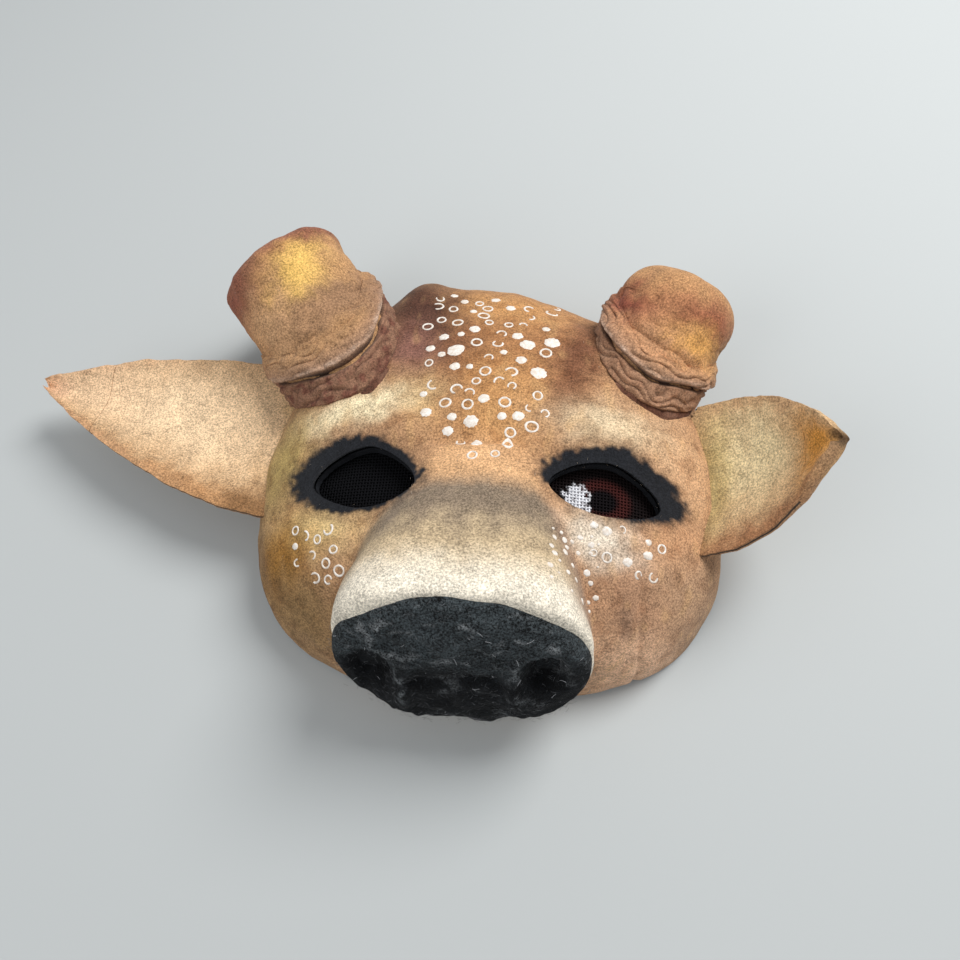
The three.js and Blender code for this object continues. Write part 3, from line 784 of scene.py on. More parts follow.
def dab(centre, radius, width, sweep, turn, random):
    """Ring of paint; sweep below 360 leaves it open, and width as large as the radius fills it."""
    closed = sweep >= 360
    count = DAB_SIDES if closed else DAB_SIDES + 1
    flat, height = [], []
    for step in range(count):
        angle = math.radians(turn + sweep * step / DAB_SIDES)
        thick = width * (0.8 + 0.4 * random.random()) * (1 if closed or 0 < step < DAB_SIDES else 0.35)
        for side in range(DAB_PROFILE):
            across = math.cos(2 * math.pi * side / DAB_PROFILE) * thick / 2
            away = radius * (1 + 0.05 * math.sin(2 * angle + turn)) + across
            flat.append((math.cos(angle) * away, math.sin(angle) * away))
            height.append(DAB_HEIGHT * math.sin(2 * math.pi * side / DAB_PROFILE))
    points = laid(centre, flat, height)
    faces = []
    for step in range(DAB_SIDES):
        for side in range(DAB_PROFILE):
            here, there = step * DAB_PROFILE, (step + 1) % count * DAB_PROFILE
            beside = (side + 1) % DAB_PROFILE
            faces.append((here + side, there + side, there + beside, here + beside))
    if not closed:
        faces.append(tuple(range(DAB_PROFILE)))
        faces.append(tuple(count * DAB_PROFILE - 1 - k for k in range(DAB_PROFILE)))
    return points, faces


def blob(centre, radius, random):
    """Solid dab: a low dome with an uneven outline."""
    rings = (1.0, 0.85, 0.5)
    flat, height = [(0, 0)], [DAB_HEIGHT * 1.2]
    uneven = [1 + 0.22 * (random.random() - 0.5) for _ in range(DAB_SIDES)]
    for ring, lift in zip(rings, (-0.1, 0.75, 1.1)):
        for step in range(DAB_SIDES):
            angle = 2 * math.pi * step / DAB_SIDES
            away = radius * ring * uneven[step]
            flat.append((math.cos(angle) * away, math.sin(angle) * away * 0.9))
            height.append(DAB_HEIGHT * lift)
    points = laid(centre, flat, height)
    faces = []
    for ring in range(2):
        for step in range(DAB_SIDES):
            a, b = 1 + ring * DAB_SIDES + step, 1 + ring * DAB_SIDES + (step + 1) % DAB_SIDES
            faces.append((a, b, b + DAB_SIDES, a + DAB_SIDES))
    inner = 1 + 2 * DAB_SIDES
    faces += [(inner + step, inner + (step + 1) % DAB_SIDES, 0) for step in range(DAB_SIDES)]
    faces.append(tuple(range(DAB_SIDES, 0, -1)))
    return points, faces


def forehead_area(x, y):
    half = 25 if y > 30 else 5 + 20 * (y - 2) / 28
    return 2 < y < 88 and abs(x - 1 + 0.06 * (y - 50)) < half


def strewn(inside, count, gap, spread, seed):
    """Places inside an area, none closer together than the gap."""
    random = np.random.default_rng(seed)
    found = []
    for _ in range(count * 60):
        x, y = random.uniform(spread[0], spread[1]), random.uniform(spread[2], spread[3])
        if inside(x, y) and all(math.hypot(x - u, y - v) > gap for u, v in found):
            found.append((x, y))
        if len(found) == count:
            break
    return found


def white_dabs(places, radii, blob_share, seed):
    random = Random(seed)
    points, faces = [], []
    for x, y in places:
        radius = random.uniform(*radii)
        kind = random.random()
        if kind < blob_share:
            new_points, new_faces = blob((x, y), radius * 1.05, random)
        else:
            sweep = 360 if kind < 0.72 else random.uniform(170, 300)
            width = 0.35 + radius * 0.22
            new_points, new_faces = dab((x, y), radius, width, sweep, random.uniform(0, 360), random)
        faces += [tuple(corner + len(points) for corner in face) for face in new_faces]
        points += new_points
    return np.array(points), faces


WHITE_PAINT = plain_material("white_paint", (0.86, 0.83, 0.78), (0.62, 0.52, 0.42), 900, 0.55, 0.3, 0.0002)
BIG_DABS = [(-12, 54), (14, 58), (23, 60), (19, 44), (-3, 22)]
forehead_places = [place for place in strewn(forehead_area, 74, 4.9, (-30, 30, 2, 88), SPOT_SEED)
                   if all(math.hypot(place[0] - x, place[1] - y) > 5.2 for x, y in BIG_DABS)]
left_places = strewn(lambda x, y: abs((x + 51) * 0.7 + (y + 26) * 0.7) < 8.5,
                     12, 4.6, (-62, -42, -36, -16), 3)
right_places = strewn(lambda x, y: y > -24 - 0.2 * (x - 40), 11, 4.4, (39, 63, -27, -12), 5)
speck_places = strewn(lambda x, y: True, 30, 2.3, (27, 42, -42, -16), 6)
DAB_GROUPS = {
    "forehead_felt": [(forehead_places, (1.3, 2.05), 0.3, 1), (BIG_DABS, (2.4, 3.2), 1.0, 2)],
    "left_cheek_felt": [(left_places, (1.2, 1.8), 0.25, 3)],
    "right_cheek_felt": [(right_places, (1.0, 1.7), 0.45, 4)],
    "muzzle_felt": [(speck_places, (0.4, 1.25), 1.0, 5)],
}


def join_into(piece, others):
    """Joins objects into a piece, which keeps its name and its place in the book-keeping."""
    chosen = [piece, *others]
    with bpy.context.temp_override(active_object=piece, selected_editable_objects=chosen):
        bpy.ops.object.join()


for name, groups in DAB_GROUPS.items():
    extra = []
    for places, radii, blob_share, seed in groups:
        points, faces = white_dabs(places, radii, blob_share, seed)
        thing = smooth_object("dabs", points, faces)
        thing.data.materials.append(WHITE_PAINT)
        extra.append(thing)
    join_into(face_pieces[name], extra)
    print(name, "dabs:", sum(len(group[0]) for group in groups))

# %% [markdown]
# The nose is a pad of black felt, stitched and dented by hand: a flatter upper half that catches the light,
# a crease under it, two nostril hollows with a raised lip on their inner sides and a fuller bottom
# lip. Its paint holds light and shade: painted light on the upper half, painted shade in the nostrils,
# and painted highlights on the nostril lips and along the bottom lip.

# %% Nose pad
NOSE_SIDES, NOSE_STEPS = 220, 70
NOSE_MIDDLE = np.array([0.0, NOSE_Y, 42.3])
NOSTRILS = ((-28.5, 41.0), (27.0, 44.0))


def nose_front(p):
    """How far the black felt stands out over the padding at points of the nose."""
    x, z = p[:, 0], p[:, 2]
    out = np.zeros(len(p))
    for side, (nostril_x, nostril_z) in zip((-1, 1), NOSTRILS):
        near = ((x - nostril_x) / 6.5) ** 2 + ((z - nostril_z) / 7.5) ** 2
        out -= 8.0 * np.exp(-near ** 1.4)
        lip = ((x - nostril_x + side * 10) / 3.2) ** 2 + ((z - nostril_z + 3) / 9.5) ** 2
        out += 3.2 * np.exp(-lip)
    crease_line = 42.5 + 1.6 * np.sin(x / 8.0) - 0.006 * x * x
    out -= 1.9 * np.exp(-((z - crease_line) / 2.4) ** 2) * np.exp(-(x / 30) ** 4)
    out += 1.5 * np.exp(-((z - 30) / 8) ** 2) * np.exp(-(x / 26) ** 4)
    return out


turn = np.linspace(0, 2 * np.pi, NOSE_SIDES, endpoint=False)
rim_x = 40.9 * np.sign(np.cos(turn)) * np.abs(np.cos(turn)) ** 0.93
rim_z = 28.2 * np.sign(np.sin(turn)) * np.abs(np.sin(turn)) ** 0.93
rows = []
for step in np.linspace(0, 1, NOSE_STEPS):
    inward = 1 - step ** 2.2
    bulge = 7.6 * math.sin(min(step * 1.25, 1.0) * math.pi / 2) ** 0.8
    x, z = rim_x * inward, rim_z * inward
    y = NOSE_LEAN * z + NOSE_Y + 1.4 - bulge
    rows.append(np.stack([x, y, z + NOSE_MIDDLE[2]], 1))
nose_points = np.concatenate(rows)
nose_faces = grid_faces(NOSE_STEPS, NOSE_SIDES, around=True)[:, ::-1]
nose_lump = (wobble(nose_points, 12, 21) * 1.0 + wobble(nose_points, 4.6, 22) * 0.8
             + wobble(nose_points, 1.6, 23) * 0.2)
settle = ramp(-(nose_points[:, 1] - (NOSE_Y + 1.4 + NOSE_LEAN * (nose_points[:, 2] - 43))), 1.0, 5.0)
nose_points = push(nose_points, np.tile([0.0, -0.93, 0.37], (len(nose_points), 1)),
                   (nose_front(nose_points) + nose_lump) * settle)
# Nose colours: ink black, a grey for painted light on the upper half, and a pale painted highlight.
NOSE_INK, NOSE_PAINTED_LIGHT, NOSE_PAINTED_HIGHLIGHT = (0.0035, 0.0045, 0.006), (0.060, 0.073, 0.078), (0.42, 0.42, 0.44)
# The upper half is painted lighter: painted light where it faces the lamp, partly grey fibre tone.
upper = ramp(nose_points[:, 2] + wobble(nose_points, 6, 24) * 3, 41, 55)
nose_paint = mix(np.tile(np.array(NOSE_INK), (len(nose_points), 1)), NOSE_PAINTED_LIGHT, upper * 0.9)
for side, (nostril_x, nostril_z) in zip((-1, 1), NOSTRILS):
    # Each nostril hollow is painted near black: painted shade.
    hollow = ((nose_points[:, 0] - nostril_x) / 5.5) ** 2 + ((nose_points[:, 2] - nostril_z) / 5.0) ** 2
    nose_paint = mix(nose_paint, (0.001, 0.001, 0.001), np.exp(-hollow ** 1.5))
    # The raised lip beside each nostril is painted grey: a painted highlight.
    lip = (((nose_points[:, 0] - nostril_x + side * 9) / 2.2) ** 2
           + ((nose_points[:, 2] - nostril_z + 2) / 7) ** 2)
    ridge_highlight = np.exp(-lip) * 0.75 * ramp(wobble(nose_points, 2.5, 29), -0.3, 0.8)
    nose_paint = mix(nose_paint, (0.26, 0.28, 0.29), ridge_highlight)
patchy = wobble(nose_points, 9, 27) * 0.7 + wobble(nose_points * [0.6, 1, 1], 3.0, 26)
brushed = ramp(patchy + wobble(nose_points * [0.5, 1, 1], 1.3, 28) * 0.5, 0.3, 1.5)
# Grey brushed streaks of fibre, stronger on the upper half as painted light.
nose_paint = mix(nose_paint, (0.27, 0.285, 0.29), brushed * (0.25 + 0.5 * upper))
# Pale strokes along the bottom lip: a painted highlight, partly pale fuzz.
bottom_lip_highlight = (np.exp(-((nose_points[:, 2] - 18.5) / 2.2) ** 2)
         * ramp(wobble(nose_points * [1, 1, 4], 5, 25), 0.1, 0.9))
nose_paint = mix(nose_paint, NOSE_PAINTED_HIGHLIGHT, bottom_lip_highlight * 0.95 * np.exp(-((nose_points[:, 0] - 4) / 30) ** 4))
back = np.arange(NOSE_SIDES)
nose_all = nose_faces.tolist() + [list(map(int, back))]
nose = smooth_object("nose_cloth", nose_points, nose_all, nose_paint)
nose = finish_piece(nose, felt("nose_felt", blotches=0.9, grain=1.9, bump=1.0, depth=0.0016, sheen=0.05),
                    "felt_black", "nose_pad")
print("nose:", len(nose_all), "faces")

# %% [markdown]
# Each ear is a sandwich: a tan felt back, dark foam and a cream felt lining, glued together with raw
# edges, and a separate felt tip drawn over the end. The middle line of each ear is an arc. The left
# ear is long and nearly flat. The right one curls up at its end, and there the layers come apart.

# %% Ears
EARS = {
    "left": {"side": -1, "x": 66, "y": 21, "z": 13, "sweep": 6, "rise": 1, "curl": 0,
             "body": 93, "tip": 31, "half": 30, "cup": 9.0, "back": 0.5, "blunt": (1.7, 0.8)},
    "right": {"side": 1, "x": 73, "y": 15, "z": 11, "sweep": -5, "rise": 25, "curl": 44,
              "body": 54, "tip": 16.5, "half": 27.5, "cup": 9.0, "back": 0.12, "blunt": (2.3, 0.66)},
}
EAR_LONG, EAR_WIDE = 110, 56
LAYERS = {"back": (0.0, 1.9), "foam": (2.0, 4.0), "lining": (4.1, 6.1)}
LAYER_SLOTS = {"back": "felt_tan", "foam": "dark_foam", "lining": "felt_cream"}
MID_DEPTH = 3.05
EDGE_SQUEEZE = 0.62  # the glued edges are this much thinner than the middle
HORNS = {
    "left": {"foot": (-46, 45, 20), "aim": (-0.62, 0.72, 0.31), "radius": 25.5, "length": 70,
             "dome": 3.0, "taper": 0.02, "fold": 22.0, "band": (0.17, 0.065, 0.043), "seed": 31},
    "right": {"foot": (48, 40, 18), "aim": (0.4, 0.76, 0.36), "radius": 22.5, "length": 61,
              "dome": 13.0, "taper": 0.12, "fold": 15.0, "band": (0.36, 0.19, 0.11), "seed": 32},
}


def horn_axes(horn):
    aim = np.array(horn["aim"]) / np.linalg.norm(horn["aim"])
    face = np.array([0.0, 0.0, 1.0]) - aim * aim[2]
    face /= np.linalg.norm(face)
    return aim, face, np.cross(aim, face)


def inside_horn(p, horn, extra):
    aim = horn_axes(horn)[0]
    offset = p - np.array(horn["foot"])
    along = offset @ aim
    return np.linalg.norm(offset - along[:, None] * aim, axis=1) < horn["radius"] + extra


def ear_points(ear, u, v, depth, loose=0.0):
    total = ear["body"] + ear["tip"]
    steps = 24
    share = (np.arange(steps) + 0.5) / steps
    angles = np.radians(ear["rise"] + ear["curl"] * share[:, None] * u[None])
    out = (np.cos(angles) * u * total / steps).sum(0)
    up = (np.sin(angles) * u * total / steps).sum(0)
    angle = np.radians(ear["rise"] + ear["curl"] * u)
    power, taper = ear["blunt"]
    half = ear["half"] * np.maximum(1 - u ** power, 0) ** taper * (1 + 0.16 * np.sin(np.pi * u)) + loose
    lift = ear["cup"] * (1 - 0.5 * u) * v * v + depth
    x = (out - np.sin(angle) * lift) * ear["side"]
    y = half * v + ear["back"] * ear["half"] * u
    z = up + np.cos(angle) * lift
    turn = math.radians(ear["side"] * ear["sweep"])
    return np.stack([ear["side"] * ear["x"] + x * math.cos(turn) - y * math.sin(turn),
                     ear["y"] + x * math.sin(turn) + y * math.cos(turn), ear["z"] + z], 1)


EAR_WASHES = {
    "left": [
        (0.48, 0.1, 0.4, 0.75, (0.88, 0.64, 0.4), 1.0),
        (0.8, 0.3, 0.18, 0.9, (0.84, 0.58, 0.36), 0.7),
        (0.97, 0.0, 0.08, 1.2, (0.8, 0.5, 0.31), 0.8),
        (0.3, -1.0, 0.45, 0.28, (0.46, 0.235, 0.1), 0.9),
        (0.05, 0.3, 0.08, 0.9, (0.6, 0.39, 0.17), 0.8),
        # painted shade at the ear's root, where it meets the head
        (0.13, -0.95, 0.1, 0.4, (0.2, 0.1, 0.04), 0.8),
        (0.8, 1.0, 0.3, 0.2, (0.62, 0.38, 0.22), 0.7),
        (0.75, -1.0, 0.35, 0.16, (0.56, 0.31, 0.16), 0.8),
    ],
    "right": [
        (0.45, 0.25, 0.26, 0.7, (0.86, 0.71, 0.42), 1.0),
        (0.2, 0.0, 0.13, 0.9, (0.52, 0.41, 0.17), 0.8),
        (0.86, 0.1, 0.13, 0.9, (0.7, 0.33, 0.07), 1.0),
        (0.5, -1.0, 0.5, 0.26, (0.36, 0.17, 0.08), 0.95),
        # painted shade at the ear's root, where it meets the head
        (0.12, -0.8, 0.12, 0.5, (0.16, 0.07, 0.025), 0.9),
        (0.5, 1.0, 0.5, 0.14, (0.5, 0.3, 0.155), 0.7),
        (0.9, 0.8, 0.12, 0.3, (0.66, 0.46, 0.26), 0.7),
        (1.01, -0.2, 0.06, 1.1, (0.03, 0.016, 0.01), 1.0),
    ],
}


def ear_paint(side, u, v, noise_value):
    colour = np.tile(np.array((0.60, 0.38, 0.20)), (len(u), 1))
    for at, across, long_reach, wide_reach, tint, strength in EAR_WASHES[side]:
        du = (u + noise_value * 0.020 - at) / long_reach
        dv = (v + noise_value * 0.07 - across) / wide_reach
        colour = mix(colour, tint, np.exp(-(du * du + dv * dv) ** 1.3) * strength)
    return colour


def ear_layer(side, title, start, stop, low, high, ragged, slot, material, seed):
    """One layer of an ear: shares start to stop of its length, depths low to high in millimetres."""
    ear = EARS[side]
    u, v = (grid.ravel() for grid in np.meshgrid(
        np.linspace(start, stop, EAR_LONG), np.linspace(-1, 1, EAR_WIDE), indexing="ij"))
    base = ear_points(ear, u, v, 0.0)
    loose = wobble(base, 9, seed) * ragged + wobble(base, 2.5, seed + 1) * ragged * 0.5
    wave = wobble(base, 16, 40) * 1.0 + wobble(base, 5, 41) * 0.28
    wave = wave * ramp(u, 0.1, 0.3)
    edge = np.abs(v) ** 7
    if title == "tip":
        edge = np.maximum(edge, ramp(u, start + (stop - start) * 0.55, stop) ** 2)
    squeeze = 1 - EDGE_SQUEEZE * edge
    nap = wobble(base, 3, seed + 2) * 0.12
    top = ear_points(ear, u, v, MID_DEPTH + (high - MID_DEPTH) * squeeze + wave + nap, loose)
    bottom = ear_points(ear, u, v, MID_DEPTH + (low - MID_DEPTH) * squeeze + wave, loose)
    faces = grid_faces(EAR_LONG, EAR_WIDE)
    if ear["side"] < 0:
        faces = faces[:, ::-1]
    middles = (top[faces].mean(1) + bottom[faces].mean(1)) / 2
    out = dome_value(middles, 0.6) > 1
    for horn in HORNS.values():
        out &= ~inside_horn(middles, horn, 1.5)
    points, all_faces, used = walled(top, bottom, faces[out])
    paint = ear_paint(side, u, v, wobble(base, 6, seed + 3) + 0.6 * wobble(base, 2, seed + 4))
    if title in ("back", "foam"):
        paint = mix(paint, TAN, np.full(len(paint), 0.6))
    thing = smooth_object(f"{side}_ear_{title}_cloth", points, all_faces,
                          paint[np.concatenate([used, used])])
    return finish_piece(thing, material, slot, f"{side}_ear_{title}")


DARK_FOAM = plain_material("dark_foam", (0.030, 0.024, 0.020), (0.075, 0.05, 0.035), 700, 1.0, 0.8, 0.0010)
for seed, (side, ear) in enumerate(EARS.items()):
    total = ear["body"] + ear["tip"]
    seam = ear["body"] / total
    for title, (low, high) in LAYERS.items():
        is_foam = title == "foam"
        piece = ear_layer(side, title, 0.0, seam, low, high, 0.35, LAYER_SLOTS[title],
                          DARK_FOAM if is_foam else PAINTED_FELT, 50 + seed * 9)
    ear_layer(side, "tip", seam + 0.002, 0.985, 0.0, 6.1, 0.45, "felt_tan", PAINTED_FELT, 55 + seed * 9)
print("ears done")

# %% [markdown]
# The antlers are foam stubs wrapped in felt, like the first growth of a young deer. The wrap bunches
# into folds where it meets the head, and a maroon collar is glued over the joint. A cylinder's
# radius is varied by noise for the lumps, and by sharp ridges that wander round it for the folds.

# %% Antler surfaces
TURNS = 200


def horn_surface(horn, along, radius):
    """Rows of points round a horn's axis, each at its own distances along and from it."""
    aim, face, beside = horn_axes(horn)
    turn = np.linspace(0, 2 * np.pi, TURNS, endpoint=False)
    ring = np.cos(turn)[:, None] * face + np.sin(turn)[:, None] * beside
    swell = 1 + horn["taper"] * (along / horn["length"] - 0.85)
    middle = np.array(horn["foot"]) + along[..., None] * aim
    return (middle + (radius * swell)[..., None] * ring).reshape(-1, 3)


def ring_noise(horn, along, size, seed, around=1.0):
    """Noise on a horn that closes on itself round the axis; size is in millimetres."""
    turn = np.linspace(0, 2 * np.pi, TURNS, endpoint=False)
    radius = horn["radius"] * around
    points = np.stack([np.broadcast_to(radius * np.cos(turn), along.shape),
                       np.broadcast_to(radius * np.sin(turn), along.shape), along], -1)
    return wobble(points.reshape(-1, 3), size, seed + horn["seed"]).reshape(along.shape)


def foot_line(horn, radius):
    """Distance along the axis, at each turn, where a side of that radius leaves the head's felt."""
    steps = np.arange(-20, horn["length"], 0.25)
    along = np.repeat(steps[:, None], TURNS, 1)
    points = horn_surface(horn, along, np.full(along.shape, float(radius)))
    outside = (dome_value(points, SKIN) > 1).reshape(along.shape)
    line = steps[np.argmax(outside, axis=0)]
    for _ in range(12):
        line = (np.roll(line, 1) + line + np.roll(line, -1)) / 3
    return line


HORN_FELT, COLLAR_LENGTH = 1.6, 2.0
HORN_WASHES = {
    "left": [
        (53, 10, 12, 34, (0.8, 0.5, 0.14), 1.0),
        (47, 50, 12, 30, (0.54, 0.3, 0.14), 0.8),
        (36, 20, 8, 40, (0.26, 0.16, 0.09), 0.7),
        (63, -64, 14, 40, (0.25, 0.08, 0.052), 1.0),
        (70, 42, 9, 70, (0.24, 0.08, 0.052), 1.0),
        (42, -50, 14, 32, (0.66, 0.39, 0.2), 0.8),
        (36, 20, 8, 80, (0.36, 0.2, 0.11), 0.7),
        (72, -20, 7, 200, (0.33, 0.14, 0.085), 0.8),
    ],
    "right": [
        (44, -20, 12, 45, (0.56, 0.25, 0.12), 0.8),
        (49, 44, 8, 46, (0.27, 0.055, 0.04), 1.0),
        (35, 50, 8, 34, (0.7, 0.36, 0.1), 1.0),
        (42, -46, 9, 32, (0.25, 0.065, 0.042), 1.0),
        (58, 0, 12, 120, (0.5, 0.27, 0.12), 0.8),
        (28, 0, 8, 120, (0.54, 0.28, 0.15), 0.7),
    ],
}


def horn_paint(side, along):
    horn = HORNS[side]
    turn = np.degrees(np.linspace(0, 2 * np.pi, TURNS, endpoint=False))
    turn = np.broadcast_to((turn + 180) % 360 - 180, along.shape)
    rough = (ring_noise(horn, along, 7, 5) * 2.2 + ring_noise(horn, along, 2.5, 6)).ravel()
    colour = np.tile(np.array((0.44, 0.245, 0.115)), (along.size, 1))
    for at, facing, long_reach, wide_reach, tint, strength in HORN_WASHES[side]:
        da = (along.ravel() + rough * 1.2 - at) / long_reach
        dt = (((turn.ravel() - facing) + rough * 4 + 180) % 360 - 180) / wide_reach
        colour = mix(colour, tint, np.exp(-(da * da + dt * dt) ** 1.3) * strength)
    return colour


def horn_tube(side, part, along, outer, inner, paint, slot):
    """Tube between two radii; rows below the head's skin are left out."""
    horn = HORNS[side]
    outside = horn_surface(horn, along, outer)
    inside = horn_surface(horn, along, inner)
    faces = grid_faces(along.shape[0], TURNS, around=True)
    middles = outside[faces].mean(1)
    out = (dome_value(middles, 0.3) > 1) & (dome_value(inside[faces].mean(1), -1.0) > 1)
    points, all_faces, used = walled(outside, inside, faces[out])
    thing = smooth_object(f"{side}_antler_{part}_cloth", points, all_faces,
                          paint[np.concatenate([used, used])])
    return finish_piece(thing, PAINTED_FELT, slot, f"{side}_antler_{part}")


# %% [markdown]
# Each antler stub is five pieces: a foam block, the wrap round it, the cap over its end, the crumpled
# fold where the felt was gathered, and the dark collar by which it is glued to the head.

# %% Antler blocks, wraps and caps
def rows_along(start, stop, rows):
    """A value for each point of a tube, the same all round and rising from row to row."""
    return np.repeat(np.linspace(start, stop, rows)[:, None], TURNS, 1)


def wrap(side, horn, cap_start, fold_end):
    """The felt round the stub, creased near the fold; gives the lumps of its far edge."""
    along = rows_along(0, cap_start, 130)
    lumps = (ring_noise(horn, along, 18, 1) * 0.9 + ring_noise(horn, along, 6, 2) * 0.5
             + ring_noise(horn, along, 2.2, 19) * 0.14)
    near_fold = 1 - ramp(along - fold_end, -2, 14)
    creases = np.abs(np.sin(along / 3.4 + ring_noise(horn, along, 16, 3) * 3.4)) ** 0.5
    outer = horn["radius"] - 0.4 + lumps + near_fold * (creases - 0.6) * 1.6
    inner = np.minimum(outer - 1.0, horn["radius"] - HORN_FELT)
    horn_tube(side, "wrap", along, outer, inner, horn_paint(side, along), "felt_antler")
    return lumps[-1]


def cap(side, horn, cap_start, edge_lump):
    """Felt over the end: a flat end with a rounded corner, or a dome; its last ring closes."""
    is_flat = horn["dome"] < 5
    swing = np.linspace(0, np.pi / 2, 40)[:, None]
    corner = 4.5 if is_flat else horn["dome"] + HORN_FELT
    flat = horn["radius"] - 0.4 - corner
    ring = np.concatenate([flat + corner * np.cos(swing), np.linspace(flat, 0.05, 24)[1:, None]])
    rise = np.concatenate([corner * np.sin(swing), np.full((23, 1), corner)])
    ring, rise = np.repeat(ring, TURNS, 1), np.repeat(rise, TURNS, 1)
    along = cap_start + rise * (horn["dome"] + HORN_FELT) / corner
    fade = ring / ring[0]
    bulge = 1.2 * (1 - fade ** 2) if is_flat else 0
    lump = ring_noise(horn, along, 12, 4) * 0.8 * fade
    outer = ring + edge_lump * fade
    along = along + bulge - 1.2 * is_flat + lump * (1 - fade)
    inner = np.maximum(outer - 1.4 * (fade > 0.9), 0.0) * 0.97
    horn_tube(side, "cap", along, outer, inner, horn_paint(side, along), "felt_maroon")


def block(side, horn, cap_start):
    """Foam inside the wrap, from the head's felt to the cap."""
    core = horn["radius"] - HORN_FELT - 0.8
    top = cap_start - 0.4
    shares = (0.01, 0.3, 0.6, 0.85, 1.0)
    bottom = [np.minimum(foot_line(horn, core * share), cap_start - 2) + 0.6 for share in shares]
    side_rows = [bottom[-1] + (top - bottom[-1]) * step for step in (0.25, 0.5, 0.75)]
    along = np.array([*bottom, *side_rows, *[np.full(TURNS, top)] * len(shares)])
    ring = np.array([*shares, 1, 1, 1, *shares[::-1]])[:, None] * np.full((1, TURNS), core)
    faces = grid_faces(len(along), TURNS, around=True)[:, ::-1].tolist()
    faces += [list(range(TURNS)), list(range(along.size - 1, along.size - 1 - TURNS, -1))]
    piece = smooth_object(f"{side}_antler_block", horn_surface(horn, along, ring), faces)
    finish_piece(piece, FOAM, "foam", f"{side}_antler_core")


print("antler tubes have", TURNS, "sides")

# %% [markdown]
# The fold is where the felt was gathered: one deep crease runs round it, with a loose flap above and
# a darker band below. The crease and the hollows of the small wrinkles are painted darker as painted
# shade. The collar under it is short, and rounds off over the fold's foot.

# %% Antler folds and collars
def fold(side, horn, collar_end):
    run = rows_along(0, 1, 90)
    along = collar_end - 3 + run * (horn["fold"] + 3)
    shifted = run + ring_noise(horn, along * 0.3, 22, 7) * 0.10 + ring_noise(horn, along, 8, 8) * 0.018
    crease = np.exp(-((shifted - 0.50) / 0.035) ** 2)
    flap = ramp(shifted, 0.50, 0.56) * (1 - ramp(shifted, 0.62, 1.0))
    band = 1 - ramp(shifted, 0.42, 0.5)
    small = np.abs(np.sin(np.pi * (4.2 * shifted + ring_noise(horn, along, 9, 15) * 1.1))) ** 0.5
    ends = ramp(run, 0.0, 0.06) * (1 - ramp(run, 0.86, 1.0))
    strength = 0.85 + 0.35 * ring_noise(horn, along, 20, 14)
    relief = strength * (0.4 + 2.2 * flap + 0.8 * band) + 1.1 * small - 2.6 * crease
    outer = (horn["radius"] + 0.2 + ends * relief + ring_noise(horn, along, 4.5, 18) * 0.6
             + ring_noise(horn, along, 2, 9) * 0.3)
    # Patchy noise that breaks up the darker band and the pale line.
    fold_mottle = ramp(ring_noise(horn, along, 4, 16) + ring_noise(horn, along, 1.8, 17) * 0.7, -0.1, 0.9)
    pale = np.exp(-((shifted - 0.585) / 0.05) ** 2) * (0.4 + 0.6 * fold_mottle)
    paint = horn_paint(side, along)
    for colour, share in (((0.34, 0.20, 0.13), 0.75 * (1 - ramp(shifted, 0.6, 0.95))),
                          # a darker band below the crease, towards the head
                          (horn["band"], band * (0.45 + 0.5 * fold_mottle)),
                          ((0.56, 0.40, 0.30), pale * 0.75),
                          # painted shade in the crease
                          ((0.035, 0.015, 0.010), crease * 0.95),
                          # painted shade in the hollows of the small wrinkles
                          ((0.12, 0.055, 0.035), (1 - small) ** 2 * (1 - flap) * 0.6)):
        paint = mix(paint, colour, share.ravel())
    horn_tube(side, "fold", along, outer, np.full(along.shape, horn["radius"] - 0.9), paint, "felt_antler")


def collar(side, horn, foot):
    run = rows_along(0, 1, 60)
    along = foot - 6 + run * (COLLAR_LENGTH + 6)
    along = along + ring_noise(horn, along, 10, 10) * 1.1 * run
    round_off = ramp(run, 0.45, 1.0)
    outer = (horn["radius"] + 1.8 - 1.8 * round_off + ring_noise(horn, along, 9, 11) * 0.5
             + ring_noise(horn, along, 3, 12) * 0.2)
    spots = ramp(ring_noise(horn, along, 6, 13), 0.0, 0.7)
    paint = mix(np.tile(np.array((0.12, 0.05, 0.03)), (along.size, 1)), (0.22, 0.11, 0.07),
                spots.ravel() * 0.7)
    horn_tube(side, "collar", along, outer, np.full(along.shape, horn["radius"] - 0.2), paint, "felt_maroon")


for side, horn in HORNS.items():
    cap_start = horn["length"] - horn["dome"] - HORN_FELT
    highest = cap_start - horn["fold"] - COLLAR_LENGTH - 1
    foot = np.minimum(foot_line(horn, horn["radius"]), highest)[None, :]
    collar_end = foot + COLLAR_LENGTH
    cap(side, horn, cap_start, wrap(side, horn, cap_start, collar_end + horn["fold"]))
    fold(side, horn, collar_end)
    collar(side, horn, foot)
    block(side, horn, cap_start)
print("antlers done")

# %% [markdown]
# Behind each eye hole a piece of open-weave screen is glued inside the shell. It is painted dark. On
# the right one the maker dabbed a deep red iris and a white glint. Under the wires lies a dark sheet:
# painted shade, standing in for the dark inside of the mask seen through the weave.

# %% Eye screens
SCREEN = {"left": ((0.004, 0.004, 0.005), None), "right": ((0.010, 0.006, 0.006), (0.060, 0.014, 0.012))}
WIRE_PITCH, WIRE_RADIUS, SCREEN_DEPTH = 1.15, 0.30, 4.9
WIRE_STEP, WIRE_SIDES, WIRE_SPAN, WIRE_WAVE = 0.55, 6, 27, 0.22


def screen_height(x, y):
    """Height of the screen: just under the shell, which follows the head's swells."""
    base = dome_height(x, y, 0.0)
    top = np.stack([x, y, base], -1).reshape(-1, 3)
    return base + (swells(top) - SOCKET_DEPTH * sockets(top)).reshape(np.shape(x)) - SCREEN_DEPTH


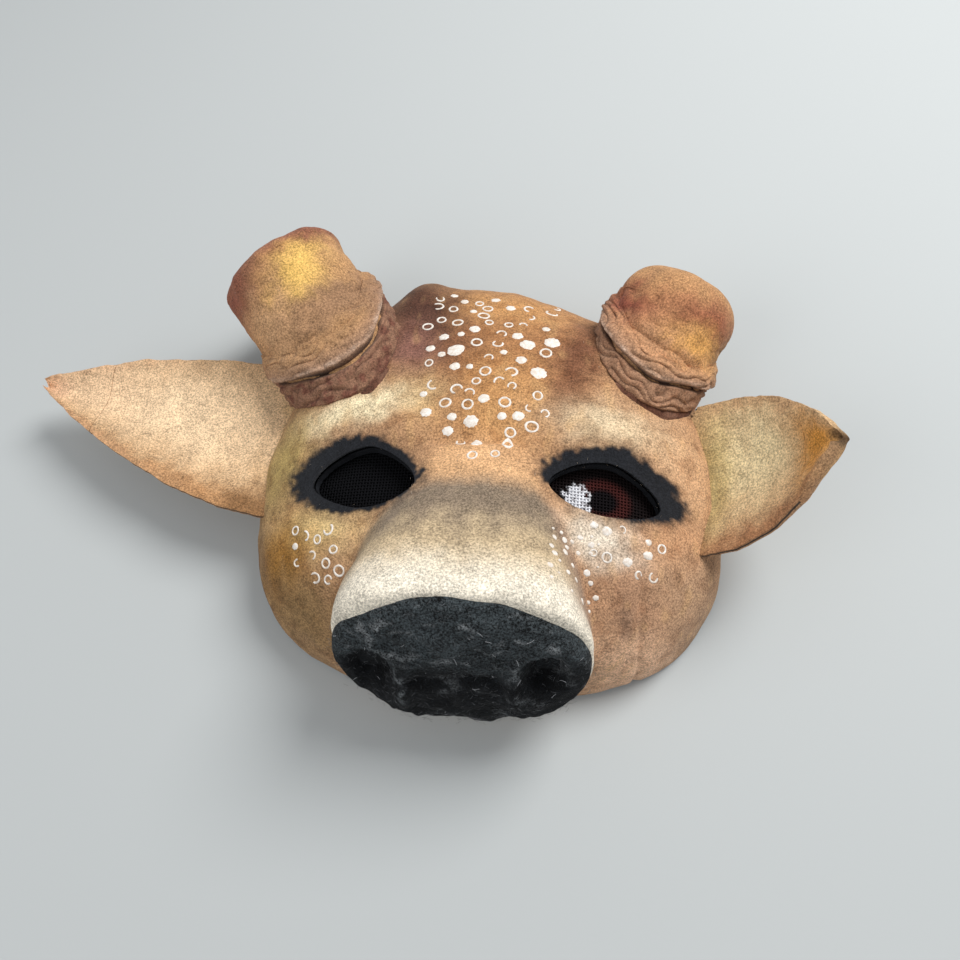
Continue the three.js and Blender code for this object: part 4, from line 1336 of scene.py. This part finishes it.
def screen_paint(side, x, y):
    dark, iris = SCREEN[side]
    colour = np.tile(np.array(dark), (x.size, 1))
    if iris is None:
        return colour
    eye = EYES[side]
    away = np.hypot((x.ravel() - eye["x"] + 1.0) / 11.5, (y.ravel() - eye["y"]) / 9.5)
    colour = mix(colour, iris, 1 - ramp(away, 0.7, 1.0))
    colour = mix(colour, (0.006, 0.004, 0.005), 1 - ramp(away, 0.35, 0.6))
    glint = ((x.ravel() - eye["x"] + 9.5) / 4.8) ** 2 + ((y.ravel() - eye["y"] + 1.0) / 6.5) ** 2
    broken_up = wobble(np.stack([x.ravel(), y.ravel(), x.ravel() * 0], 1), 1.6, 71) * 0.8
    return mix(colour, (0.85, 0.85, 0.88), 1 - ramp(glint + broken_up, 0.5, 1.1))


def wire_lines(side):
    """Wires both ways over and under each other, as chains of points clipped to the almond."""
    eye = EYES[side]
    points, edges, start = [], [], 0
    span = np.arange(-WIRE_SPAN, WIRE_SPAN, WIRE_STEP)
    for crossing in (0, 1):
        for number, fixed in enumerate(np.arange(-WIRE_SPAN, WIRE_SPAN, WIRE_PITCH)):
            x, y = (span, np.full_like(span, fixed)) if crossing == 0 else (np.full_like(span, fixed), span)
            x, y = x + eye["x"], y + eye["y"]
            phase = span / WIRE_PITCH * np.pi + np.pi * (number % 2)
            z = screen_height(x, y) + WIRE_WAVE * np.sin(phase) * (1 if crossing == 0 else -1)
            line = np.stack([x, y, z], 1)
            inside = eye_measure(line, eye, 3.4) < 1
            for k in range(len(line)):
                if inside[k]:
                    points.append(line[k])
                    if k + 1 < len(line) and inside[k + 1]:
                        edges.append((start, start + 1))
                    start += 1
    return np.array(points), edges


def geometry_tree(name, inputs):
    """Empty Geometry Nodes tree: a mesh and some named values go in, and a mesh comes out."""
    tree = bpy.data.node_groups.new(name, "GeometryNodeTree")
    for title, kind in [("Geometry", "Geometry"), *inputs]:
        tree.interface.new_socket(title, in_out="INPUT", socket_type="NodeSocket" + kind)
    tree.interface.new_socket("Geometry", in_out="OUTPUT", socket_type="NodeSocketGeometry")
    return tree, tree.nodes.new("NodeGroupInput").outputs, tree.nodes.new("NodeGroupOutput")


def end_tree(tree, end, made, material):
    """Makes copies real, gives them one material and leads them out of the tree."""
    real = add_node(tree, "GeometryNodeRealizeInstances", {"Geometry": made})
    paint = add_node(tree, "GeometryNodeSetMaterial",
                     {"Geometry": real.outputs["Geometry"], "Material": material})
    tree.links.new(paint.outputs["Geometry"], end.inputs["Geometry"])
    return tree


def wire_tree(material):
    """Geometry Nodes: chains of edges become round wires with one material."""
    tree, start, end = geometry_tree("woven_wires", [("Wire Radius", "Float")])
    curve = add_node(tree, "GeometryNodeMeshToCurve", {"Mesh": start["Geometry"]})
    circle = add_node(tree, "GeometryNodeCurvePrimitiveCircle",
                      {"Resolution": WIRE_SIDES, "Radius": start["Wire Radius"]})
    skin = add_node(tree, "GeometryNodeCurveToMesh", {
        "Curve": curve.outputs["Curve"], "Profile Curve": circle.outputs["Curve"], "Fill Caps": True})
    return end_tree(tree, end, skin.outputs["Mesh"], material)


def with_nodes(source, tree, **values):
    """The plain mesh that a node tree makes from an object; the object itself is removed."""
    modifier = source.modifiers.new("nodes", "NODES")
    modifier.node_group = tree
    for item in tree.interface.items_tree:
        if item.item_type == "SOCKET" and item.in_out == "INPUT" and item.name in values:
            modifier[item.identifier] = values[item.name]
    source.update_tag()
    bpy.context.view_layer.update()
    graph = bpy.context.evaluated_depsgraph_get()
    mesh = bpy.data.meshes.new_from_object(source.evaluated_get(graph))
    bpy.data.objects.remove(source)
    return mesh


SCREEN_PAINT = felt("screen_paint", blotches=0.2, grain=0.3, bump=0.3, depth=0.0002, sheen=0.0)
WIRES = wire_tree(SCREEN_PAINT)
for side in EYES:
    eye = EYES[side]
    x, y = np.meshgrid(np.linspace(-26, 26, 84), np.linspace(-17, 17, 56), indexing="ij")
    x, y = x + eye["x"], y + eye["y"]
    # A dark sheet under the wires: painted shade for the dark inside seen through the weave. It carries the
    # iris and glint paint too.
    shade_film_top = np.stack([x, y, screen_height(x, y) - 0.45], -1).reshape(-1, 3)
    shade_film_faces = grid_faces(84, 56)
    inside = eye_measure(shade_film_top[shade_film_faces].mean(1), eye, 3.8) < 1
    points, faces, used = walled(shade_film_top, shade_film_top - [0, 0, 0.35], shade_film_faces[inside])
    shade_film_paint = screen_paint(side, x, y)[np.concatenate([used, used])]
    wires, edges = wire_lines(side)
    source = smooth_object("wire_lines", wires, [], screen_paint(side, wires[:, 0], wires[:, 1]))
    source.data.edges.add(len(edges))
    source.data.edges.foreach_set("vertices", np.array(edges, np.int32).ravel())
    source.data.update()
    woven = with_nodes(source, WIRES, **{"Wire Radius": WIRE_RADIUS * MM})
    shade_film = smooth_object(f"{side}_screen_cloth", points, faces, shade_film_paint)
    shade_film.data.materials.append(SCREEN_PAINT)
    join_into(shade_film, [in_scene("woven", woven)])
    finish_piece(shade_film, SCREEN_PAINT, "screen", f"{side}_eye_screen")
    print(side, "screen:", len(shade_film.data.polygons), "faces")

# %% [markdown]
# Two tabs of dark foam sheet are glued inside the shell's sides. Each has a slot for a strap.

# %% Strap tabs
TAB_Y, TAB_WIDE, TAB_LOW, TAB_TALL, TAB_THICK = 18.0, 20.0, 6.0, 18.0, 2.0
SLOT_WIDE, SLOT_TALL = 12.0, 3.0
TAB_COLUMNS, TAB_ROWS = 40, 36


def side_reach(y, z, grow):
    """Half width of the dome at a place on its side."""
    length = FOREHEAD_LENGTH + grow
    level_share = np.maximum(1 - np.abs(z / (DOME_HEIGHT + grow)) ** 2.3, 0) ** (1 / 0.92)
    return (HALF_WIDTH + grow) * np.maximum(level_share - np.abs(y / length) ** 2.5, 0) ** (1 / 2.5)


for side, sign in (("left", -1), ("right", 1)):
    y, z = np.meshgrid(np.linspace(TAB_Y - TAB_WIDE / 2, TAB_Y + TAB_WIDE / 2, TAB_COLUMNS + 1),
                       np.linspace(TAB_LOW, TAB_LOW + TAB_TALL, TAB_ROWS + 1), indexing="ij")
    sheets = []
    for depth in (SHELL_WALL + 0.5, SHELL_WALL + 0.5 + TAB_THICK):
        x = sign * side_reach(y, z, -depth)
        wall = np.stack([x, y, z], -1).reshape(-1, 3)
        outer = np.stack([sign * side_reach(y, z, 0.0), y, z], -1).reshape(-1, 3)
        sheets.append(wall + np.array([sign, 0, 0]) * (swells(outer) - 0.3)[:, None])
    faces = grid_faces(TAB_COLUMNS + 1, TAB_ROWS + 1)
    middles = sheets[0][faces].mean(1)
    middle_z = TAB_LOW + TAB_TALL / 2
    slot_here = ((np.abs(middles[:, 1] - TAB_Y) < SLOT_WIDE / 2)
                 & (np.abs(middles[:, 2] - middle_z) < SLOT_TALL / 2))
    faces = faces[~slot_here] if sign > 0 else faces[~slot_here][:, ::-1]
    points, all_faces, _ = walled(sheets[0], sheets[1], faces)
    tab = smooth_object(f"{side}_tab_cloth", points, all_faces)
    finish_piece(tab, DARK_FOAM, "dark_foam", f"{side}_strap_tab")
print("tabs done")

# %% [markdown]
# Felt is never clean: loose wool fibres stand up from it, most of all on the brushed nose. They are
# strewn by Geometry Nodes: chance points on the piece, a thin bent fibre on each, turned at random.
# The fibres become part of the piece's own mesh.

# %% Loose fibres
# A fibre is an arc; its sizes are shares of its length, and it leans by up to FIBRE_LEAN radians.
FIBRE_POINTS, FIBRE_SIDES, FIBRE_SWEEP = 6, 3, 32
FIBRE_BEND, FIBRE_RADIUS, FIBRE_LEAN = 0.9, 0.012, 0.55


def random_node(tree, low, high, kind="FLOAT"):
    return add_node(tree, "FunctionNodeRandomValue", {"Min": low, "Max": high},
                    data_type=kind).outputs["Value"]


def fibre_tree():
    tree, start, end = geometry_tree("loose_fibres", [
        ("Density", "Float"), ("Seed", "Int"), ("Fibre Length", "Float"), ("Material", "Material")])
    strewn_points = add_node(tree, "GeometryNodeDistributePointsOnFaces", {
        "Mesh": start["Geometry"], "Density": start["Density"], "Seed": start["Seed"]})
    arc = add_node(tree, "GeometryNodeCurveArc", {
        "Resolution": FIBRE_POINTS, "Radius": FIBRE_BEND, "Sweep Angle": math.radians(FIBRE_SWEEP)})
    thread = add_node(tree, "GeometryNodeCurvePrimitiveCircle",
                      {"Resolution": FIBRE_SIDES, "Radius": FIBRE_RADIUS})
    fibre = add_node(tree, "GeometryNodeCurveToMesh", {
        "Curve": arc.outputs["Curve"], "Profile Curve": thread.outputs["Curve"], "Fill Caps": True})
    spin = random_node(tree, (-FIBRE_LEAN, -FIBRE_LEAN, -math.pi), (FIBRE_LEAN, FIBRE_LEAN, math.pi),
                       "FLOAT_VECTOR")
    as_turn = add_node(tree, "FunctionNodeEulerToRotation", {"Euler": spin})
    turned = add_node(tree, "FunctionNodeRotateRotation", {
        "Rotation": strewn_points.outputs["Rotation"], "Rotate By": as_turn.outputs["Rotation"]},
        rotation_space="LOCAL")
    scaled = math_node(tree, "MULTIPLY", random_node(tree, 0.4, 1.2), start["Fibre Length"])
    placed = add_node(tree, "GeometryNodeInstanceOnPoints", {
        "Points": strewn_points.outputs["Points"], "Instance": fibre.outputs["Mesh"],
        "Rotation": turned.outputs["Rotation"], "Scale": scaled})
    return end_tree(tree, end, placed.outputs["Instances"], start["Material"])


FIBRES = fibre_tree()
PALE_WOOL = plain_material("pale_wool", (0.70, 0.62, 0.50), (0.45, 0.33, 0.22), 500, 0.9, 0.1, 0.0001)
WHITE_WOOL = plain_material("white_wool", (0.75, 0.76, 0.78), (0.40, 0.41, 0.43), 500, 0.8, 0.1, 0.0001)
DARK_WOOL = plain_material("dark_wool", (0.012, 0.014, 0.016), (0.24, 0.25, 0.26), 420, 0.8, 0.1, 0.0001)
# piece, fibres to a square centimetre, length in millimetres, material
FUZZ = [("nose_cloth", 75, 3.2, DARK_WOOL), ("nose_cloth", 3, 4.2, WHITE_WOOL),
        ("muzzle_felt_cloth", 16, 2.2, PALE_WOOL)]
FUZZ += [(f"{place}_felt_cloth", 5, 1.6, PALE_WOOL)
         for place in ("forehead", "left_cheek", "right_cheek", "right_jaw")]
FUZZ += [(f"{side}_ear_lining_cloth", 5, 1.8, PALE_WOOL) for side in ("left", "right")]
FUZZ += [(f"{side}_antler_wrap_cloth", 5, 1.6, PALE_WOOL) for side in ("left", "right")]
for seed, (name, density, length, wool) in enumerate(FUZZ):
    piece = bpy.data.objects[name]
    source = in_scene("fuzz_source", piece.data.copy())
    fuzz = with_nodes(source, FIBRES, Density=density * 1e4 / 2, Seed=seed, Material=wool,
                      **{"Fibre Length": length * MM})
    count = len(fuzz.polygons)
    join_into(piece, [in_scene("fuzz", fuzz)])
    print(name, "fibre faces:", count)
